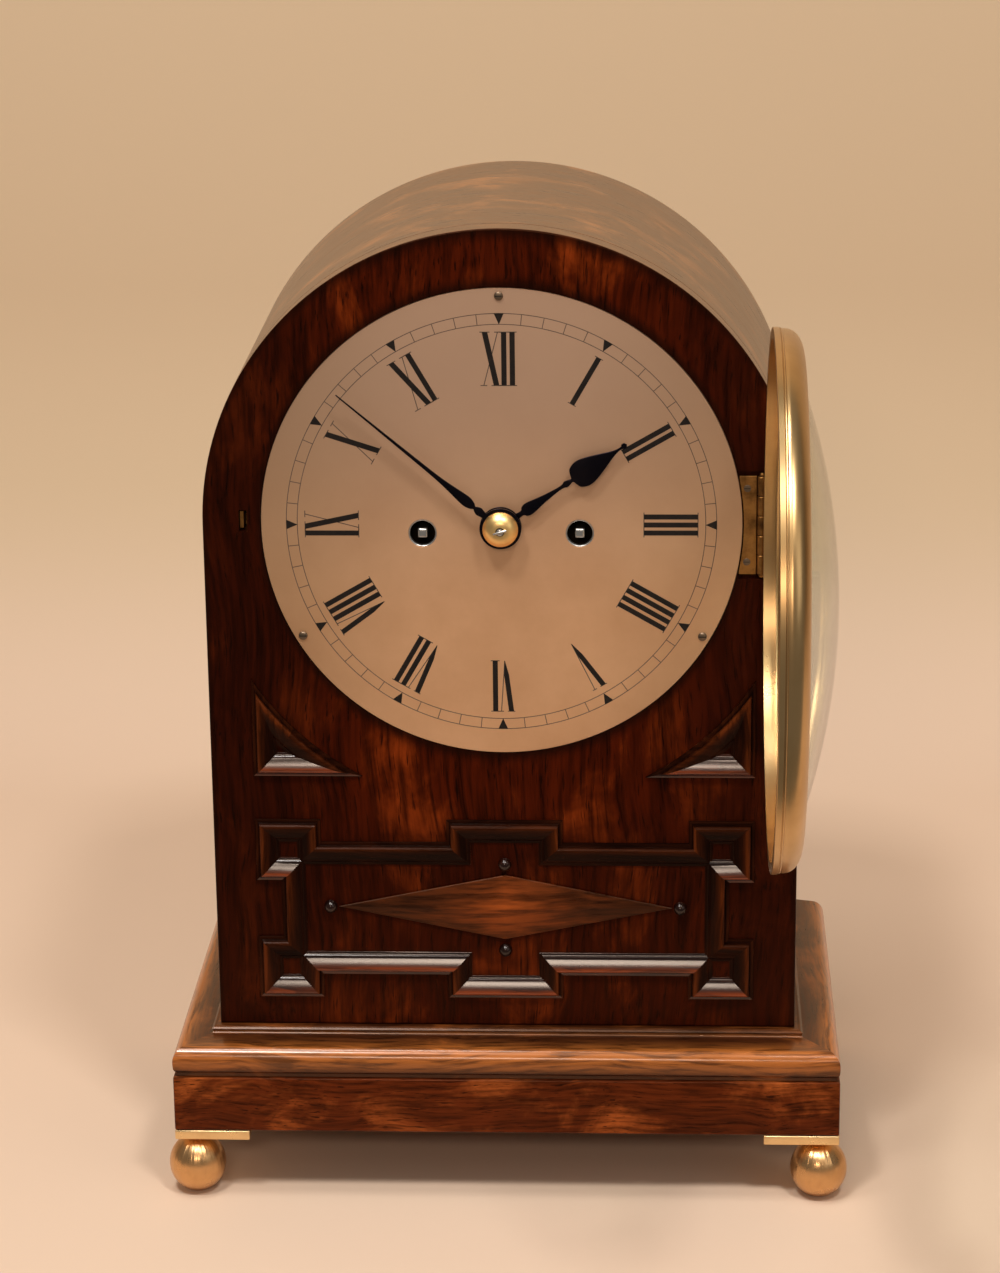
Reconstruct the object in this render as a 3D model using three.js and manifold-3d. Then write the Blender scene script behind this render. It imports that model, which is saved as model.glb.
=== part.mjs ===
// A bracket clock of about 1820: an arch-topped case on a moulded plinth with ball feet, a round
// silvered dial behind a hinged brass bezel, and a two-train fusee movement with its pendulum.
// Millimetres, +Z up, front towards -Y. The origin is on the floor, in the middle of the ball feet.
import * as THREE from 'three';
import { mergeVertices } from 'three/addons/utils/BufferGeometryUtils.js';
import Module from 'manifold-3d';

// ---- driving dimensions ---------------------------------------------------------------------
const seam = 0.3;                 // gap left at every glued, screwed or seated joint
const running = 0.4;              // radial clearance of anything that turns

// case
const dial_radius = 101.6;        // the dial is an eight-inch one
const case_half_width = 126.5;    // also the radius of the arch, which is concentric with the dial
const case_depth = 161;
const centre_above_case_foot = 228.5;
const front_board_thick = 12;
const shell_thick = 10;
const arch_steps = 36;
const ring_steps = 60;            // facets round the bezel
const bead_out = 3;               // bead round the case's foot, on top of the base moulding

// base
const base_half_width = 146;
const front_overhang = 19.5;
const moulding_height = 17.7;
const nose_height = 10.8;         // height of the moulding's rounded nose
const groove_depth = 1.5;
const plinth_height = 25.1;

// feet
const foot_plate_side = 33;
const foot_plate_thick = 4.3;
const ball_radius = 12.8;
const ball_inset = 8.5;           // ball centre in from the plinth's faces
const ball_neck_radius = 5;
const ball_neck_height = 2.4;
const ball_blend = 0.4;           // how far the ball is drawn up into its neck
const ball_flat = 0.5;            // flat worn on the underside

// dial
const dial_steps = 80;
const dial_thick = 2;
const dial_recess = 0.4;
const dial_ledge = 8;             // width of the ledge that the dial is screwed to
const dial_centre_hole = 6.2;
const winding_hole_radius = 5.3;
const winding_half_spacing = 33.2;
const winding_drop = 3.7;
const dial_screw_circle = 98.2;
const dial_screw_radius = 1.9;

// frieze and spandrel mouldings, measured from the dial's centre
const frieze_trim_width = 8.4;
const spandrel_trim_width = 7;
const trim_height = 3.2;
const frieze_top = -142.6;
const frieze_bottom = -204.4;
const frieze_side = 97.3;
const ear_top = -132.3;
const ear_bottom = -215.4;
const ear_side = 108.2;
const ear_inner = 79.8;
const ear_drop = -160.4;
const ear_rise = -186.9;
const centre_ear_half = 25.2;
const spandrel_side = 108;
const spandrel_foot = -112.3;
const spandrel_clear = 21.1;       // from the bezel's edge to the spandrels' curve, concentric with it
const spandrel_sink = 1.5;
const lozenge_half_width = 72.6;
const lozenge_half_height = 14.9;
const lozenge_height = -172.6;
const lozenge_edge = 1;
const lozenge_relief = 3.6;
const boss_radius = 2.9;
const boss_reach_x = 76.2;
const boss_reach_z = 20;
const boss_proud = 3.6;
const boss_neck = 0.9;

// bezel
const bezel_radius = 106.7;
const bezel_depth = 11.8;
const bezel_wall = 4.4;           // rim's section, in from the outer radius
const bezel_front_radius = 98.6;
const bezel_inner_radius = 95.6;
const bezel_lip_thick = 1.6;
const bezel_flange = 3.4;         // plain flange round the back of the rim
const bezel_back_gap = 0.5;
const bezel_hinge_x = 109.6;
const bezel_hinge_y = 0.3;
const bezel_open = 90;            // degrees open as it stands
const glass_thick = 1.6;
const glass_rise = 18;
const sight_ring_radius = 92.2;
const sight_ring_thick = 1.4;
const hinge_height = 42.7;
const hinge_knuckle_radius = 1.9;
const hinge_pin_radius = 0.7;
const hinge_leaf_thick = 1.2;
const hinge_pin_head = 1.6;
const hinge_pin_head_radius = 1.1;
const hinge_leaf_left = 100.2;
const bezel_leaf_width = 4;
const knuckles = 5;
const catch_from_side = 7.3;      // the bezel's catch, in from the inside of the case's left side
const catch_z = 1.6;
const catch_slot_width = 3.6;
const catch_slot_height = 9.4;
const catch_nose_deep = 2.6;      // nose of the catch below the case's face
const catch_nose_half_height = 3.6;
const catch_plate_thick = 1.6;
const catch_plate_half_height = 14;
const catch_plate_reach = 4;

// hands
const minute_hand_turn = -310.3;  // degrees from XII, clockwise negative about the viewer's axis
const hour_hand_turn = -55.9;
const hand_thick = 0.9;
const hour_hand_stand = 3.2;      // hour hand's back above the dial
const hand_step = 1.9;
const hand_hub_radius = 8.8;
const collet_radius = 7.5;
const collet_height = 4.6;
// half widths along each hand, as [distance from the centre, half width]
const hour_stations = [[8, 1.3], [11, 1.1], [12, 2.1], [13.6, 2.7], [16, 2.6], [21, 1.7], [28, 0.85],
  [31.6, 0.8], [33.2, 1.4], [34.8, 1.1], [36.4, 0.8], [37.1, 2.6], [38, 4.4], [40, 5.5], [42.2, 5.9],
  [45, 5.5], [49, 4.2], [53, 2.7], [56.4, 1.4], [59.4, 0.6], [61.6, 0.6], [62, 1.15], [63.3, 1.15],
  [63.6, 0.5]];
const minute_stations = [[8, 1.1], [10.2, 1.5], [11.8, 1.8], [13.4, 1.2], [14.2, 0.7], [15.4, 1.5],
  [18.2, 2.25], [22, 2.05], [27.5, 1.45], [36, 0.9], [54, 0.62], [71, 0.42], [89, 0.22]];

// movement
const pallet_height = 55.5;       // pallets' arbor above the dial's centre
const plate_half_width = 70;
const plate_above_pallets = 12.5;
const plate_top = pallet_height + plate_above_pallets;
const plate_bottom = -80;
const plate_thick = 2.6;
const front_plate_y = 14;         // front face of the front plate, behind the case's front
const plate_gap = 60;
const pivot_proud = 0.6;
const tooth_high = 0.3;
const tooth_low = 0.75;
const pillar_radius = 4;
const pillar_inset = 6;
const pillar_collar = 1.4;
const pillar_end_radius = 2;
const seatboard_thick = 10;
const arbor_radius = 1.6;
const great_wheel_pitch = 28.4;
const fusee_large = 21;
const fusee_small = 8;
const barrel_radius = 19.4;
const barrel_x = 46;
const barrel_z = -53;
const barrel_length = 44;
const barrel_rim = 0.8;
const barrel_rim_thick = 2;
const square_half = 1.9;          // the winding squares
const gear_thick = 2;
const wheel_tooth = 1.8;
const cannon_teeth = 30;
const cannon_pitch_radius = 11.7;
const hour_teeth = 72;
const minute_pinion_leaves = 6;
const hour_wheel_pitch_radius = 21.6;
const centre_wheel_teeth = 36;
const centre_wheel_radius = 27;
const great_wheel_teeth = 36;
const escape_radius = 14;
const escape_teeth = 30;
const escape_tooth = 2.6;
const pallet_clear = 5.5;         // pallets' arbor above the escape wheel's rim
const escape_height = pallet_height - escape_radius - pallet_clear;
const cock_reach = 13;
const cock_half_width = 17;
const cock_foot_width = 5;
const cock_low = 7;               // below and above the pallets' arbor
const cock_high = 11;
const cock_bridge_thick = 3;
const pendulum_gap = 3.5;         // pendulum behind the back cock
const pendulum_rod_half = 1.5;
const pendulum_rod_half_thick = 0.7;
const pendulum_rod_below_bob = 7;
const bob_drop = 112;             // bob's centre below the dial's centre
const bob_radius = 23;
const bob_half_thick = 6;
const bell_radius = 42;
const bell_mouth = 77;
const bell_depth = 23;
const bell_y = 46;
const bell_wall = 1.6;
const bell_column_radius = 3.2;
const bell_stud_radius = 2;
const bell_nut_radius = 4.6;
const stand_thick = 3;
const stand_foot_half = 6;
const hammer_pivot_x = -54;
const hammer_pivot_z = 44;
const hammer_rest_gap = 2.5;
const hammer_head_half = 4;
const hammer_arm_half = 1.5;

// back door
const door_thick = 13;
const door_clearance = 0.9;
const door_stile = 22;
const door_rebate = 4;
const door_glass_thick = 2;
const door_knuckle_radius = 2.4;
const door_leaf_thick = 1.2;
const door_hinge_height = 38;
const door_hinge_heights = [-20, -190];
const knob_radius = 6.5;
const knob_length = 10.3;
const knob_z = -104;
const catch_spindle = 2.2;
const catch_tongue_reach = 16;     // points up when open, and turns down to the right to lock
const catch_tongue_half = 2.5;
const door_slot_deep = 4.5;
const door_slot_height = 13.5;    // above the knob's centre, where the tongue swings in
const catch_tongue_thick = 2.6;

// colours as sRGB hex, roughness, metalness
const finishes = {
  dark_wood: [0x3a1a10, 0.4, 0], arch_wood: [0x7a4a2c, 0.45, 0], base_wood: [0x5c3420, 0.35, 0],
  pale_wood: [0x8a6a48, 0.7, 0], lozenge_wood: [0x7d4a2e, 0.4, 0], brass: [0xc9a356, 0.3, 1],
  silvered: [0xb9a38c, 0.5, 0.6], blue_steel: [0x14141c, 0.35, 1], steel: [0x9b9c9e, 0.35, 1],
  glass: [0xdfe6e0, 0.05, 0],
};

// ---- shape helpers --------------------------------------------------------------------------
const wasm = await Module();
wasm.setup();
const clock = new THREE.Group();
const stand = new THREE.Group();  // everything above the floor by the height of the feet
clock.add(stand);
const radians = THREE.MathUtils.degToRad;

// a closed geometry with merged vertices, as a solid that can be joined and cut
function solid(geometry) {
  const bare = new THREE.BufferGeometry();
  bare.setAttribute('position', geometry.attributes.position.clone());
  if (geometry.index) bare.setIndex(geometry.index.clone());
  const merged = mergeVertices(bare, 1e-4);
  const corners = merged.index.array;
  const faces = [];
  for (let i = 0; i < corners.length; i += 3) {
    const [a, b, c] = [corners[i], corners[i + 1], corners[i + 2]];
    if (a !== b && b !== c && c !== a) faces.push(a, b, c);
  }
  return new wasm.Manifold(new wasm.Mesh({
    numProp: 3,
    vertProperties: new Float32Array(merged.attributes.position.array),
    triVerts: new Uint32Array(faces),
  }));
}

// a solid back to a geometry
function shell(body) {
  const mesh = body.getMesh();
  const geometry = new THREE.BufferGeometry();
  geometry.setAttribute('position', new THREE.BufferAttribute(new Float32Array(mesh.vertProperties), 3));
  geometry.setIndex(new THREE.BufferAttribute(new Uint32Array(mesh.triVerts), 1));
  return geometry;
}

const join = (first, ...others) => shell(others.reduce((sum, g) => sum.add(solid(g)), solid(first)));
const cut = (first, ...others) => shell(others.reduce((sum, g) => sum.subtract(solid(g)), solid(first)));

// points of an arc, in degrees, both ends included
function arc(x, z, radius, from, to, steps) {
  return Array.from({ length: steps + 1 }, (_, i) => {
    const a = radians(from + (to - from) * i / steps);
    return [x + radius * Math.cos(a), z + radius * Math.sin(a)];
  });
}

const polar = (radius, degrees) => [radius * Math.cos(radians(degrees)), radius * Math.sin(radians(degrees))];
const outline = (points) => new THREE.Shape(points.map(([x, z]) => new THREE.Vector2(x, z)));

// a flat plate in the XZ plane, from y_front backwards
function plate(points, y_front, thick, holes = []) {
  const shape = outline(points);
  shape.holes = holes.map((hole) => outline(hole));
  const geometry = new THREE.ExtrudeGeometry(shape, { depth: thick, bevelEnabled: false });
  return geometry.rotateX(Math.PI / 2).translate(0, y_front + thick, 0);
}

const circle = (x, z, radius, steps) => arc(x, z, radius, 0, 360, steps).slice(0, -1);

// a box between two corners
function block(x0, y0, z0, x1, y1, z1) {
  return new THREE.BoxGeometry(x1 - x0, y1 - y0, z1 - z0)
    .translate((x0 + x1) / 2, (y0 + y1) / 2, (z0 + z1) / 2);
}

// a turned piece about the Y axis (front to back); the profile is [radius, y], with y growing
function turned(profile, steps) {
  return new THREE.LatheGeometry(profile.map(([r, y]) => new THREE.Vector2(r, y)), steps);
}
const upright = (profile, steps) => turned(profile, steps).rotateX(Math.PI / 2);

// a round rod along Y
const rod = (x, z, radius, y0, y1, steps = 12) =>
  turned([[0, y0], [radius, y0], [radius, y1], [0, y1]], steps).translate(x, 0, z);

// a toothed wheel in the XZ plane with its first tooth at start degrees
function toothed(teeth, pitch_radius, addendum, dedendum, y0, thick, start, hole = 0, share = 0.34) {
  const points = [];
  const step = 360 / teeth;
  const tooth = [[-dedendum, -0.27], [addendum, -share / 2], [addendum, share / 2], [-dedendum, 0.27]];
  for (let i = 0; i < teeth; i += 1) {
    points.push(...tooth.map(([out, ahead]) => polar(pitch_radius + out, start + (i + ahead) * step)));
  }
  return plate(points, y0, thick, hole ? [circle(0, 0, hole, 20)] : []);
}

// a wheel whose teeth stand clear of its pinion, with a root point between each two tips
function pointed(teeth, radius, y0) {
  const points = [];
  for (let i = 0; i < teeth; i += 1) {
    const at = 360 * i / teeth;
    points.push(polar(radius - wheel_tooth, at), polar(radius, at + 180 / teeth));
  }
  return plate(points, y0, gear_thick);
}

// a moulding mitred round a closed outline; the section is [in from the outline, height]
function mitred(points, section, y_face) {
  const count = points.length;
  const rings = points.map((here, i) => {
    const before = points[(i + count - 1) % count];
    const after = points[(i + 1) % count];
    const a = new THREE.Vector2(here[0] - before[0], here[1] - before[1]).normalize();
    const b = new THREE.Vector2(after[0] - here[0], after[1] - here[1]).normalize();
    const inward = new THREE.Vector2(-a.y - b.y, a.x + b.x).divideScalar(1 + a.dot(b));
    return [...section].reverse().map(([inside, high]) =>
      [here[0] + inward.x * inside, y_face - high, here[1] + inward.y * inside]);
  });
  return swept(rings, true);
}

// a skin over rings of points; closed rings of rings make a frame, open ones get flat ends
function swept(rings, closed) {
  const [count, size] = [rings.length, rings[0].length];
  const faces = [];
  for (let i = 0; i < (closed ? count : count - 1); i += 1) {
    const next = (i + 1) % count;
    for (let j = 0; j < size; j += 1) {
      const k = (j + 1) % size;
      const [a, b, c, d] = [i * size + j, i * size + k, next * size + k, next * size + j];
      faces.push(a, b, c, a, c, d);
    }
  }
  const geometry = new THREE.BufferGeometry();
  geometry.setAttribute('position', new THREE.BufferAttribute(new Float32Array(rings.flat(2)), 3));
  geometry.setIndex(faces);
  return geometry;
}

// adds a named piece to a group, with the finish that it has
function piece(name, finish, geometry, group) {
  const [color, roughness, metalness] = finishes[finish];
  const mesh = new THREE.Mesh(geometry, new THREE.MeshStandardMaterial({ color, roughness, metalness }));
  mesh.name = name;
  group.add(mesh);
  return mesh;
}

// ---- base -----------------------------------------------------------------------------------
const base_depth = front_overhang + case_depth;
const base_front = -base_depth / 2;
const base_back = base_depth / 2;
const groove_z = plinth_height + seam;
const base_top = plinth_height + moulding_height;

piece('plinth', 'base_wood',
  block(-base_half_width, base_front, 0, base_half_width, base_back, plinth_height), stand);

// the moulded board: a cove under a rounded nose, then a long slope up to the bead round the case
const nose_low = groove_z + 2.4;
const nose_high = nose_low + nose_height;
const slope_in = front_overhang - bead_out;
const base_section = [
  [groove_depth, groove_z], [groove_depth, nose_low - 0.8], [0.4, nose_low], [0, nose_low + 2.6],
  [0, nose_low + 7.2], [1, nose_high - 1.8], [3, nose_high - 0.6], [5.6, nose_high - 0.1],
  [slope_in - 1.2, base_top - 3.2], [slope_in - 0.2, base_top - 2.9], [slope_in - 0.6, base_top - 1.6],
  [slope_in + 0.4, base_top - 0.2], [slope_in + 1.4, base_top],
];
const base_rings = base_section.map(([inside, z]) => {
  const [x, front, back] = [base_half_width - inside, base_front + inside, base_back + front_overhang - inside];
  return [[-x, front, z], [x, front, z], [x, back, z], [-x, back, z]];
});
const base_sides = swept(base_rings, false);
const last_ring = (base_rings.length - 1) * 4;
const base_ends = [0, 2, 1, 0, 3, 2,
  ...[0, 1, 2, 0, 2, 3].map((corner) => last_ring + corner)];
base_sides.setIndex([...base_sides.index.array, ...base_ends]);
const behind = base_back + front_overhang * 2;
const moulded_board = cut(base_sides,
  block(-base_half_width * 2, base_back, -plinth_height, base_half_width * 2, behind, base_top * 2));
piece('base_moulding', 'base_wood', moulded_board, stand);

// ---- feet -----------------------------------------------------------------------------------
const ball_centre = ball_neck_height + ball_radius - ball_blend;
const ball_profile = [[0, 0], [ball_neck_radius, 0], [ball_neck_radius, ball_neck_height]];
const ball_low = Math.acos(1 - ball_flat / ball_radius);
const ball_top = -foot_plate_thick - seam * 2;
stand.position.z = ball_centre + ball_radius - ball_flat - ball_top;
for (let i = 0; i <= 7; i += 1) {
  const a = THREE.MathUtils.lerp(Math.asin(ball_neck_radius / ball_radius) + 0.12, Math.PI - ball_low, i / 7);
  ball_profile.push([ball_radius * Math.sin(a), ball_centre - ball_radius * Math.cos(a)]);
}
ball_profile.push([0, ball_profile.at(-1)[1]]);
for (const [end, y_side] of [['front', -1], ['back', 1]]) {
  for (const [side, x_side] of [['left', -1], ['right', 1]]) {
    const x_face = x_side * base_half_width;
    const y_face = y_side * base_back;
    const x_in = x_face - x_side * foot_plate_side;
    const y_in = y_face - y_side * foot_plate_side;
    piece(`foot_plate_${end}_${side}`, 'brass',
      block(Math.min(x_face, x_in), Math.min(y_face, y_in), -seam - foot_plate_thick,
        Math.max(x_face, x_in), Math.max(y_face, y_in), -seam), stand);
    const ball = upright(ball_profile, 14).rotateX(Math.PI);
    piece(`ball_foot_${end}_${side}`, 'brass', ball, stand)
      .position.set(x_face - x_side * ball_inset, y_face - y_side * ball_inset, ball_top);
  }
}

// ---- case: everything from here is placed from the dial's centre, on the case's front face ---
const body = new THREE.Group();
body.position.set(0, base_front + front_overhang, base_top + seam + centre_above_case_foot);
stand.add(body);
const foot = -centre_above_case_foot;
const shell_front = front_board_thick + seam;
const inside_half = case_half_width - shell_thick;
const catch_x = inside_half - catch_from_side;
const spandrel_arc_radius = bezel_radius + spandrel_clear;

const front_outline = [[-case_half_width, foot], [case_half_width, foot],
  ...arc(0, 0, case_half_width, 0, 180, arch_steps)];
const recess_radius = dial_radius + seam;
const ledge_radius = dial_radius - dial_ledge;
const spandrel_shape = (side, inset) => {
  const corner = spandrel_side - inset;
  const low = spandrel_foot + inset;
  const radius = spandrel_arc_radius + inset;
  const from = THREE.MathUtils.radToDeg(Math.atan2(-Math.sqrt(radius ** 2 - corner ** 2), corner));
  const to = THREE.MathUtils.radToDeg(Math.atan2(low, Math.sqrt(radius ** 2 - low ** 2)));
  const curve = arc(0, 0, radius, from, to, 6);
  const points = [[corner, low], ...curve];
  return side > 0 ? points : points.map(([x, z]) => [-x, z]).reverse();
};
const leaf_clear = hinge_knuckle_radius + seam;
const leaf_top = hinge_height / 2 + hinge_pin_head + seam * 2;
const recess_depth = hinge_leaf_thick + seam;
piece('front_board', 'dark_wood', cut(
  plate(front_outline, 0, front_board_thick),
  plate(circle(0, 0, recess_radius, dial_steps), -1, dial_recess + dial_thick + seam + 1),
  plate(circle(0, 0, ledge_radius, 48), 0, front_board_thick + 1),
  block(hinge_leaf_left - seam, -1, -leaf_top, bezel_hinge_x + leaf_clear, recess_depth, leaf_top),
  block(bezel_hinge_x - leaf_clear, -1, -leaf_top,
    bezel_hinge_x + leaf_clear, bezel_hinge_y + leaf_clear, leaf_top),
  block(-catch_x - catch_slot_width / 2, -1, catch_z - catch_slot_height / 2,
    -catch_x + catch_slot_width / 2, front_board_thick + 1, catch_z + catch_slot_height / 2),
  plate(spandrel_shape(1, spandrel_trim_width), -1, 1 + spandrel_sink),
  plate(spandrel_shape(-1, spandrel_trim_width), -1, 1 + spandrel_sink),
), body);

for (const [side, x_side] of [['left', -1], ['right', 1]]) {
  const board = block(Math.min(x_side * case_half_width, x_side * inside_half), shell_front, foot,
    Math.max(x_side * case_half_width, x_side * inside_half), case_depth, -seam);
  const tongue_y = case_depth - door_thick - seam;
  const slot = block(inside_half - 2, tongue_y - catch_tongue_thick - 1, knob_z - catch_tongue_half - 0.5,
    inside_half + door_slot_deep, tongue_y + 0.4, knob_z + door_slot_height);
  piece(`${side}_side`, 'dark_wood', x_side > 0 ? cut(board, slot) : board, body);
}
piece('arched_top', 'arch_wood', plate(
  [...arc(0, 0, case_half_width, 0, 180, arch_steps), ...arc(0, 0, inside_half, 180, 0, arch_steps)],
  shell_front, case_depth - shell_front), body);

// ---- mouldings on the front -----------------------------------------------------------------
const trim_section = (width) => [[0, 0], [0, 0.3], [0.15, 0.4], [0.31, 1], [0.58, 0.9], [0.83, 0.5],
  [1, 0.28], [1, 0]].map(([across, high]) => [across * width, high * trim_height]);
const quarter = [[centre_ear_half, ear_bottom], [centre_ear_half, frieze_bottom], [ear_inner, frieze_bottom],
  [ear_inner, ear_bottom], [ear_side, ear_bottom], [ear_side, ear_rise], [frieze_side, ear_rise],
  [frieze_side, ear_drop], [ear_side, ear_drop], [ear_side, ear_top], [ear_inner, ear_top],
  [ear_inner, frieze_top], [centre_ear_half, frieze_top], [centre_ear_half, ear_top]];
const frieze_outline = [...quarter, ...quarter.map(([x, z]) => [-x, z]).reverse()];
piece('frieze_moulding', 'dark_wood', mitred(frieze_outline, trim_section(frieze_trim_width), -seam), body);
for (const [side, x_side] of [['left', -1], ['right', 1]]) {
  const loops = trim_section(spandrel_trim_width).map(([inside, high]) =>
    spandrel_shape(x_side, inside).map(([x, z]) => [x, -seam - high, z]));
  piece(`spandrel_${side}`, 'dark_wood', swept(loops, true), body);
}

const lozenge_base = [[-1, 0], [0, -1], [1, 0], [0, 1]]
  .map(([x, z]) => [x * lozenge_half_width, z * lozenge_half_height]);
const lozenge_rings = [0, lozenge_edge].map((y) => lozenge_base.map(([x, z]) => [x, -y, z]));
const lozenge_skin = swept(lozenge_rings, false);
lozenge_skin.setAttribute('position', new THREE.BufferAttribute(
  new Float32Array([...lozenge_rings.flat(2), 0, -lozenge_relief, 0]), 3));
lozenge_skin.setIndex([...lozenge_skin.index.array, 0, 2, 1, 0, 3, 2, 4, 5, 8, 5, 6, 8, 6, 7, 8, 7, 4, 8]);
piece('lozenge', 'lozenge_wood', lozenge_skin, body).position.set(0, -seam, lozenge_height);

const boss_profile = [[0, -boss_proud], [boss_radius * 0.55, 0.4 - boss_proud],
  [boss_radius * 0.9, 1.4 - boss_proud], [boss_radius, -boss_neck - 0.3], [boss_radius * 0.8, -boss_neck],
  [boss_radius, 0], [0, 0]];
for (const [name, x, z] of [['left', -boss_reach_x, 0], ['right', boss_reach_x, 0],
  ['top', 0, boss_reach_z], ['bottom', 0, -boss_reach_z]]) {
  piece(`boss_${name}`, 'dark_wood', turned(boss_profile, 12), body)
    .position.set(x, -seam, lozenge_height + z);
}

// ---- dial -----------------------------------------------------------------------------------
const dial_front = dial_recess;
const dial_back = dial_recess + dial_thick;
const screw_angles = { top: 90, left: 210, right: 330 };
const screw_spots = Object.entries(screw_angles).map(([name, a]) =>
  [name, ...polar(dial_screw_circle, a)]);
piece('dial_plate', 'silvered', plate(circle(0, 0, dial_radius, dial_steps), dial_front, dial_thick, [
  circle(0, 0, dial_centre_hole, 24),
  circle(-winding_half_spacing, -winding_drop, winding_hole_radius, 20),
  circle(winding_half_spacing, -winding_drop, winding_hole_radius, 20),
  ...screw_spots.map(([, x, z]) => circle(x, z, dial_screw_radius * 0.6 + seam, 12)),
]), body);
const screw_shank = dial_screw_radius * 0.6;
const screw_profile = [[0, -0.7], [dial_screw_radius, -0.5], [dial_screw_radius, 0], [screw_shank, 0],
  [screw_shank, dial_thick], [0, dial_thick]];
for (const [name, x, z] of screw_spots) {
  piece(`dial_screw_${name}`, 'steel', turned(screw_profile, 8), body)
    .position.set(x, dial_front - seam, z);
}

// ---- bezel: a group that turns about its hinge pin -------------------------------------------
const bezel = new THREE.Group();
bezel.position.set(bezel_hinge_x, bezel_hinge_y, 0);
bezel.rotation.z = radians(bezel_open);
body.add(bezel);
const bezel_face = new THREE.Group();
bezel_face.position.set(-bezel_hinge_x, -bezel_hinge_y, 0);
bezel.add(bezel_face);

const rim_back = -bezel_back_gap;
const rim_front = rim_back - bezel_depth;
const rim_inner = bezel_radius - bezel_wall;
const glass_rest = rim_front + bezel_lip_thick + 1.8;
const rim_profile = [
  [rim_inner, rim_back], [rim_inner, glass_rest], [bezel_inner_radius, rim_front + bezel_lip_thick],
  [bezel_inner_radius, rim_front + 0.2], [bezel_front_radius, rim_front],
  [bezel_front_radius + 3, rim_front + 0.9], [bezel_radius - 2.4, rim_front + 2.9],
  [bezel_radius - 0.9, rim_front + 5.6], [bezel_radius - 0.4, rim_back - bezel_flange],
  [bezel_radius, rim_back - bezel_flange + 0.6], [bezel_radius, rim_back],
];
const leaf_recess = block(bezel_hinge_x - leaf_clear - bezel_leaf_width - seam,
  rim_back - seam * 2 - hinge_leaf_thick, -hinge_height / 2 - seam, bezel_hinge_x, 1, hinge_height / 2 + seam);
const knuckle_pitch = hinge_height / knuckles;
const knuckle_span = (i) => [-hinge_height / 2 + i * knuckle_pitch + (i ? seam / 2 : 0),
  -hinge_height / 2 + (i + 1) * knuckle_pitch - (i < knuckles - 1 ? seam / 2 : 0)];
const column = (radius, z0, z1) => upright([[0, z0], [radius, z0], [radius, z1], [0, z1]], 10);

const rim = turned([...rim_profile, rim_profile[0]], ring_steps);
piece('bezel_ring', 'brass', cut(rim, leaf_recess), bezel_face);

const glass_edge = bezel_front_radius - 0.4;
const dome = (radius, rise, y, steps) => {
  const sphere = (radius ** 2 + rise ** 2) / (2 * rise);
  return Array.from({ length: steps + 1 }, (_, i) => {
    const r = radius * i / steps;
    return [r, y - (Math.sqrt(sphere ** 2 - r ** 2) - (sphere - rise))];
  });
};
const glass_back = glass_rest + glass_thick + 0.1;
const glass_radius = bezel_inner_radius - 0.5;
const outer_dome = dome(glass_radius, glass_rise, glass_back - glass_thick, 4);
const inner_dome = dome(glass_radius - glass_thick, glass_rise - 0.6, glass_back, 4);
piece('bezel_glass', 'glass', turned([...outer_dome, [glass_edge, glass_back - glass_thick],
  [glass_edge, glass_back], ...inner_dome.reverse()], 40), bezel_face);
const sight_front = glass_back + seam;
const sight_back = sight_front + sight_ring_thick;
const sight_profile = [[sight_ring_radius, sight_back], [sight_ring_radius + 1.6, sight_front],
  [rim_inner - seam, sight_front], [rim_inner - seam, sight_back]];
piece('sight_ring', 'brass', turned([...sight_profile, sight_profile[0]], ring_steps), bezel_face);

// hinge leaves share five knuckles on one pin: three on the case's leaf and two on the bezel's
const pin_hole = column(hinge_pin_radius + seam, -hinge_height, hinge_height);
const barrel_knuckles = (which) => [...Array(knuckles).keys()].filter((i) => i % 2 === which)
  .map((i) => column(hinge_knuckle_radius, ...knuckle_span(i)));
const fixed_leaf = block(hinge_leaf_left - bezel_hinge_x, -bezel_hinge_y, -hinge_height / 2,
  -hinge_knuckle_radius - seam, hinge_leaf_thick - bezel_hinge_y, hinge_height / 2);
const fixed_tabs = [0, 2, 4].map((i) => {
  const [z0, z1] = knuckle_span(i);
  return block(-leaf_clear - 1, -bezel_hinge_y, z0,
    -hinge_pin_radius - seam * 2, hinge_leaf_thick - bezel_hinge_y, z1);
});
const dial_clear = plate(circle(0, 0, recess_radius + seam, dial_steps), -1, hinge_leaf_thick + 2)
  .translate(-bezel_hinge_x, 0, 0);
piece('bezel_hinge_fixed_leaf', 'brass',
  cut(join(fixed_leaf, ...fixed_tabs, ...barrel_knuckles(0)), pin_hole, dial_clear), body)
  .position.set(bezel_hinge_x, bezel_hinge_y, 0);
const pin_half = hinge_height / 2;
const head_profile = [[hinge_pin_radius, pin_half + seam], [hinge_pin_head_radius, pin_half + seam],
  [hinge_pin_head_radius, pin_half + hinge_pin_head - 0.5], [0, pin_half + hinge_pin_head]];
const pin_profile = [...head_profile.map(([r, z]) => [r, -z]).reverse(), ...head_profile];
piece('bezel_hinge_pin', 'brass', upright(pin_profile, 8), body).position.set(bezel_hinge_x, bezel_hinge_y, 0);

// the moving leaf is let into the rim's edge, in the bezel's own frame
const leaf_back = rim_back - bezel_hinge_y - seam;
const leaf_span = [-bezel_leaf_width - leaf_clear, leaf_back - hinge_leaf_thick, -hinge_height / 2,
  -leaf_clear, leaf_back, hinge_height / 2];
const moving_tabs = [1, 3].map((i) => {
  const [z0, z1] = knuckle_span(i);
  return block(-leaf_clear - 0.4, leaf_span[1], z0, -hinge_pin_radius - seam, leaf_span[4], z1);
});
const moving_leaf = block(...leaf_span);
piece('bezel_hinge_leaf', 'brass',
  cut(join(moving_leaf, ...moving_tabs, ...barrel_knuckles(1)), pin_hole), bezel);

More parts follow.
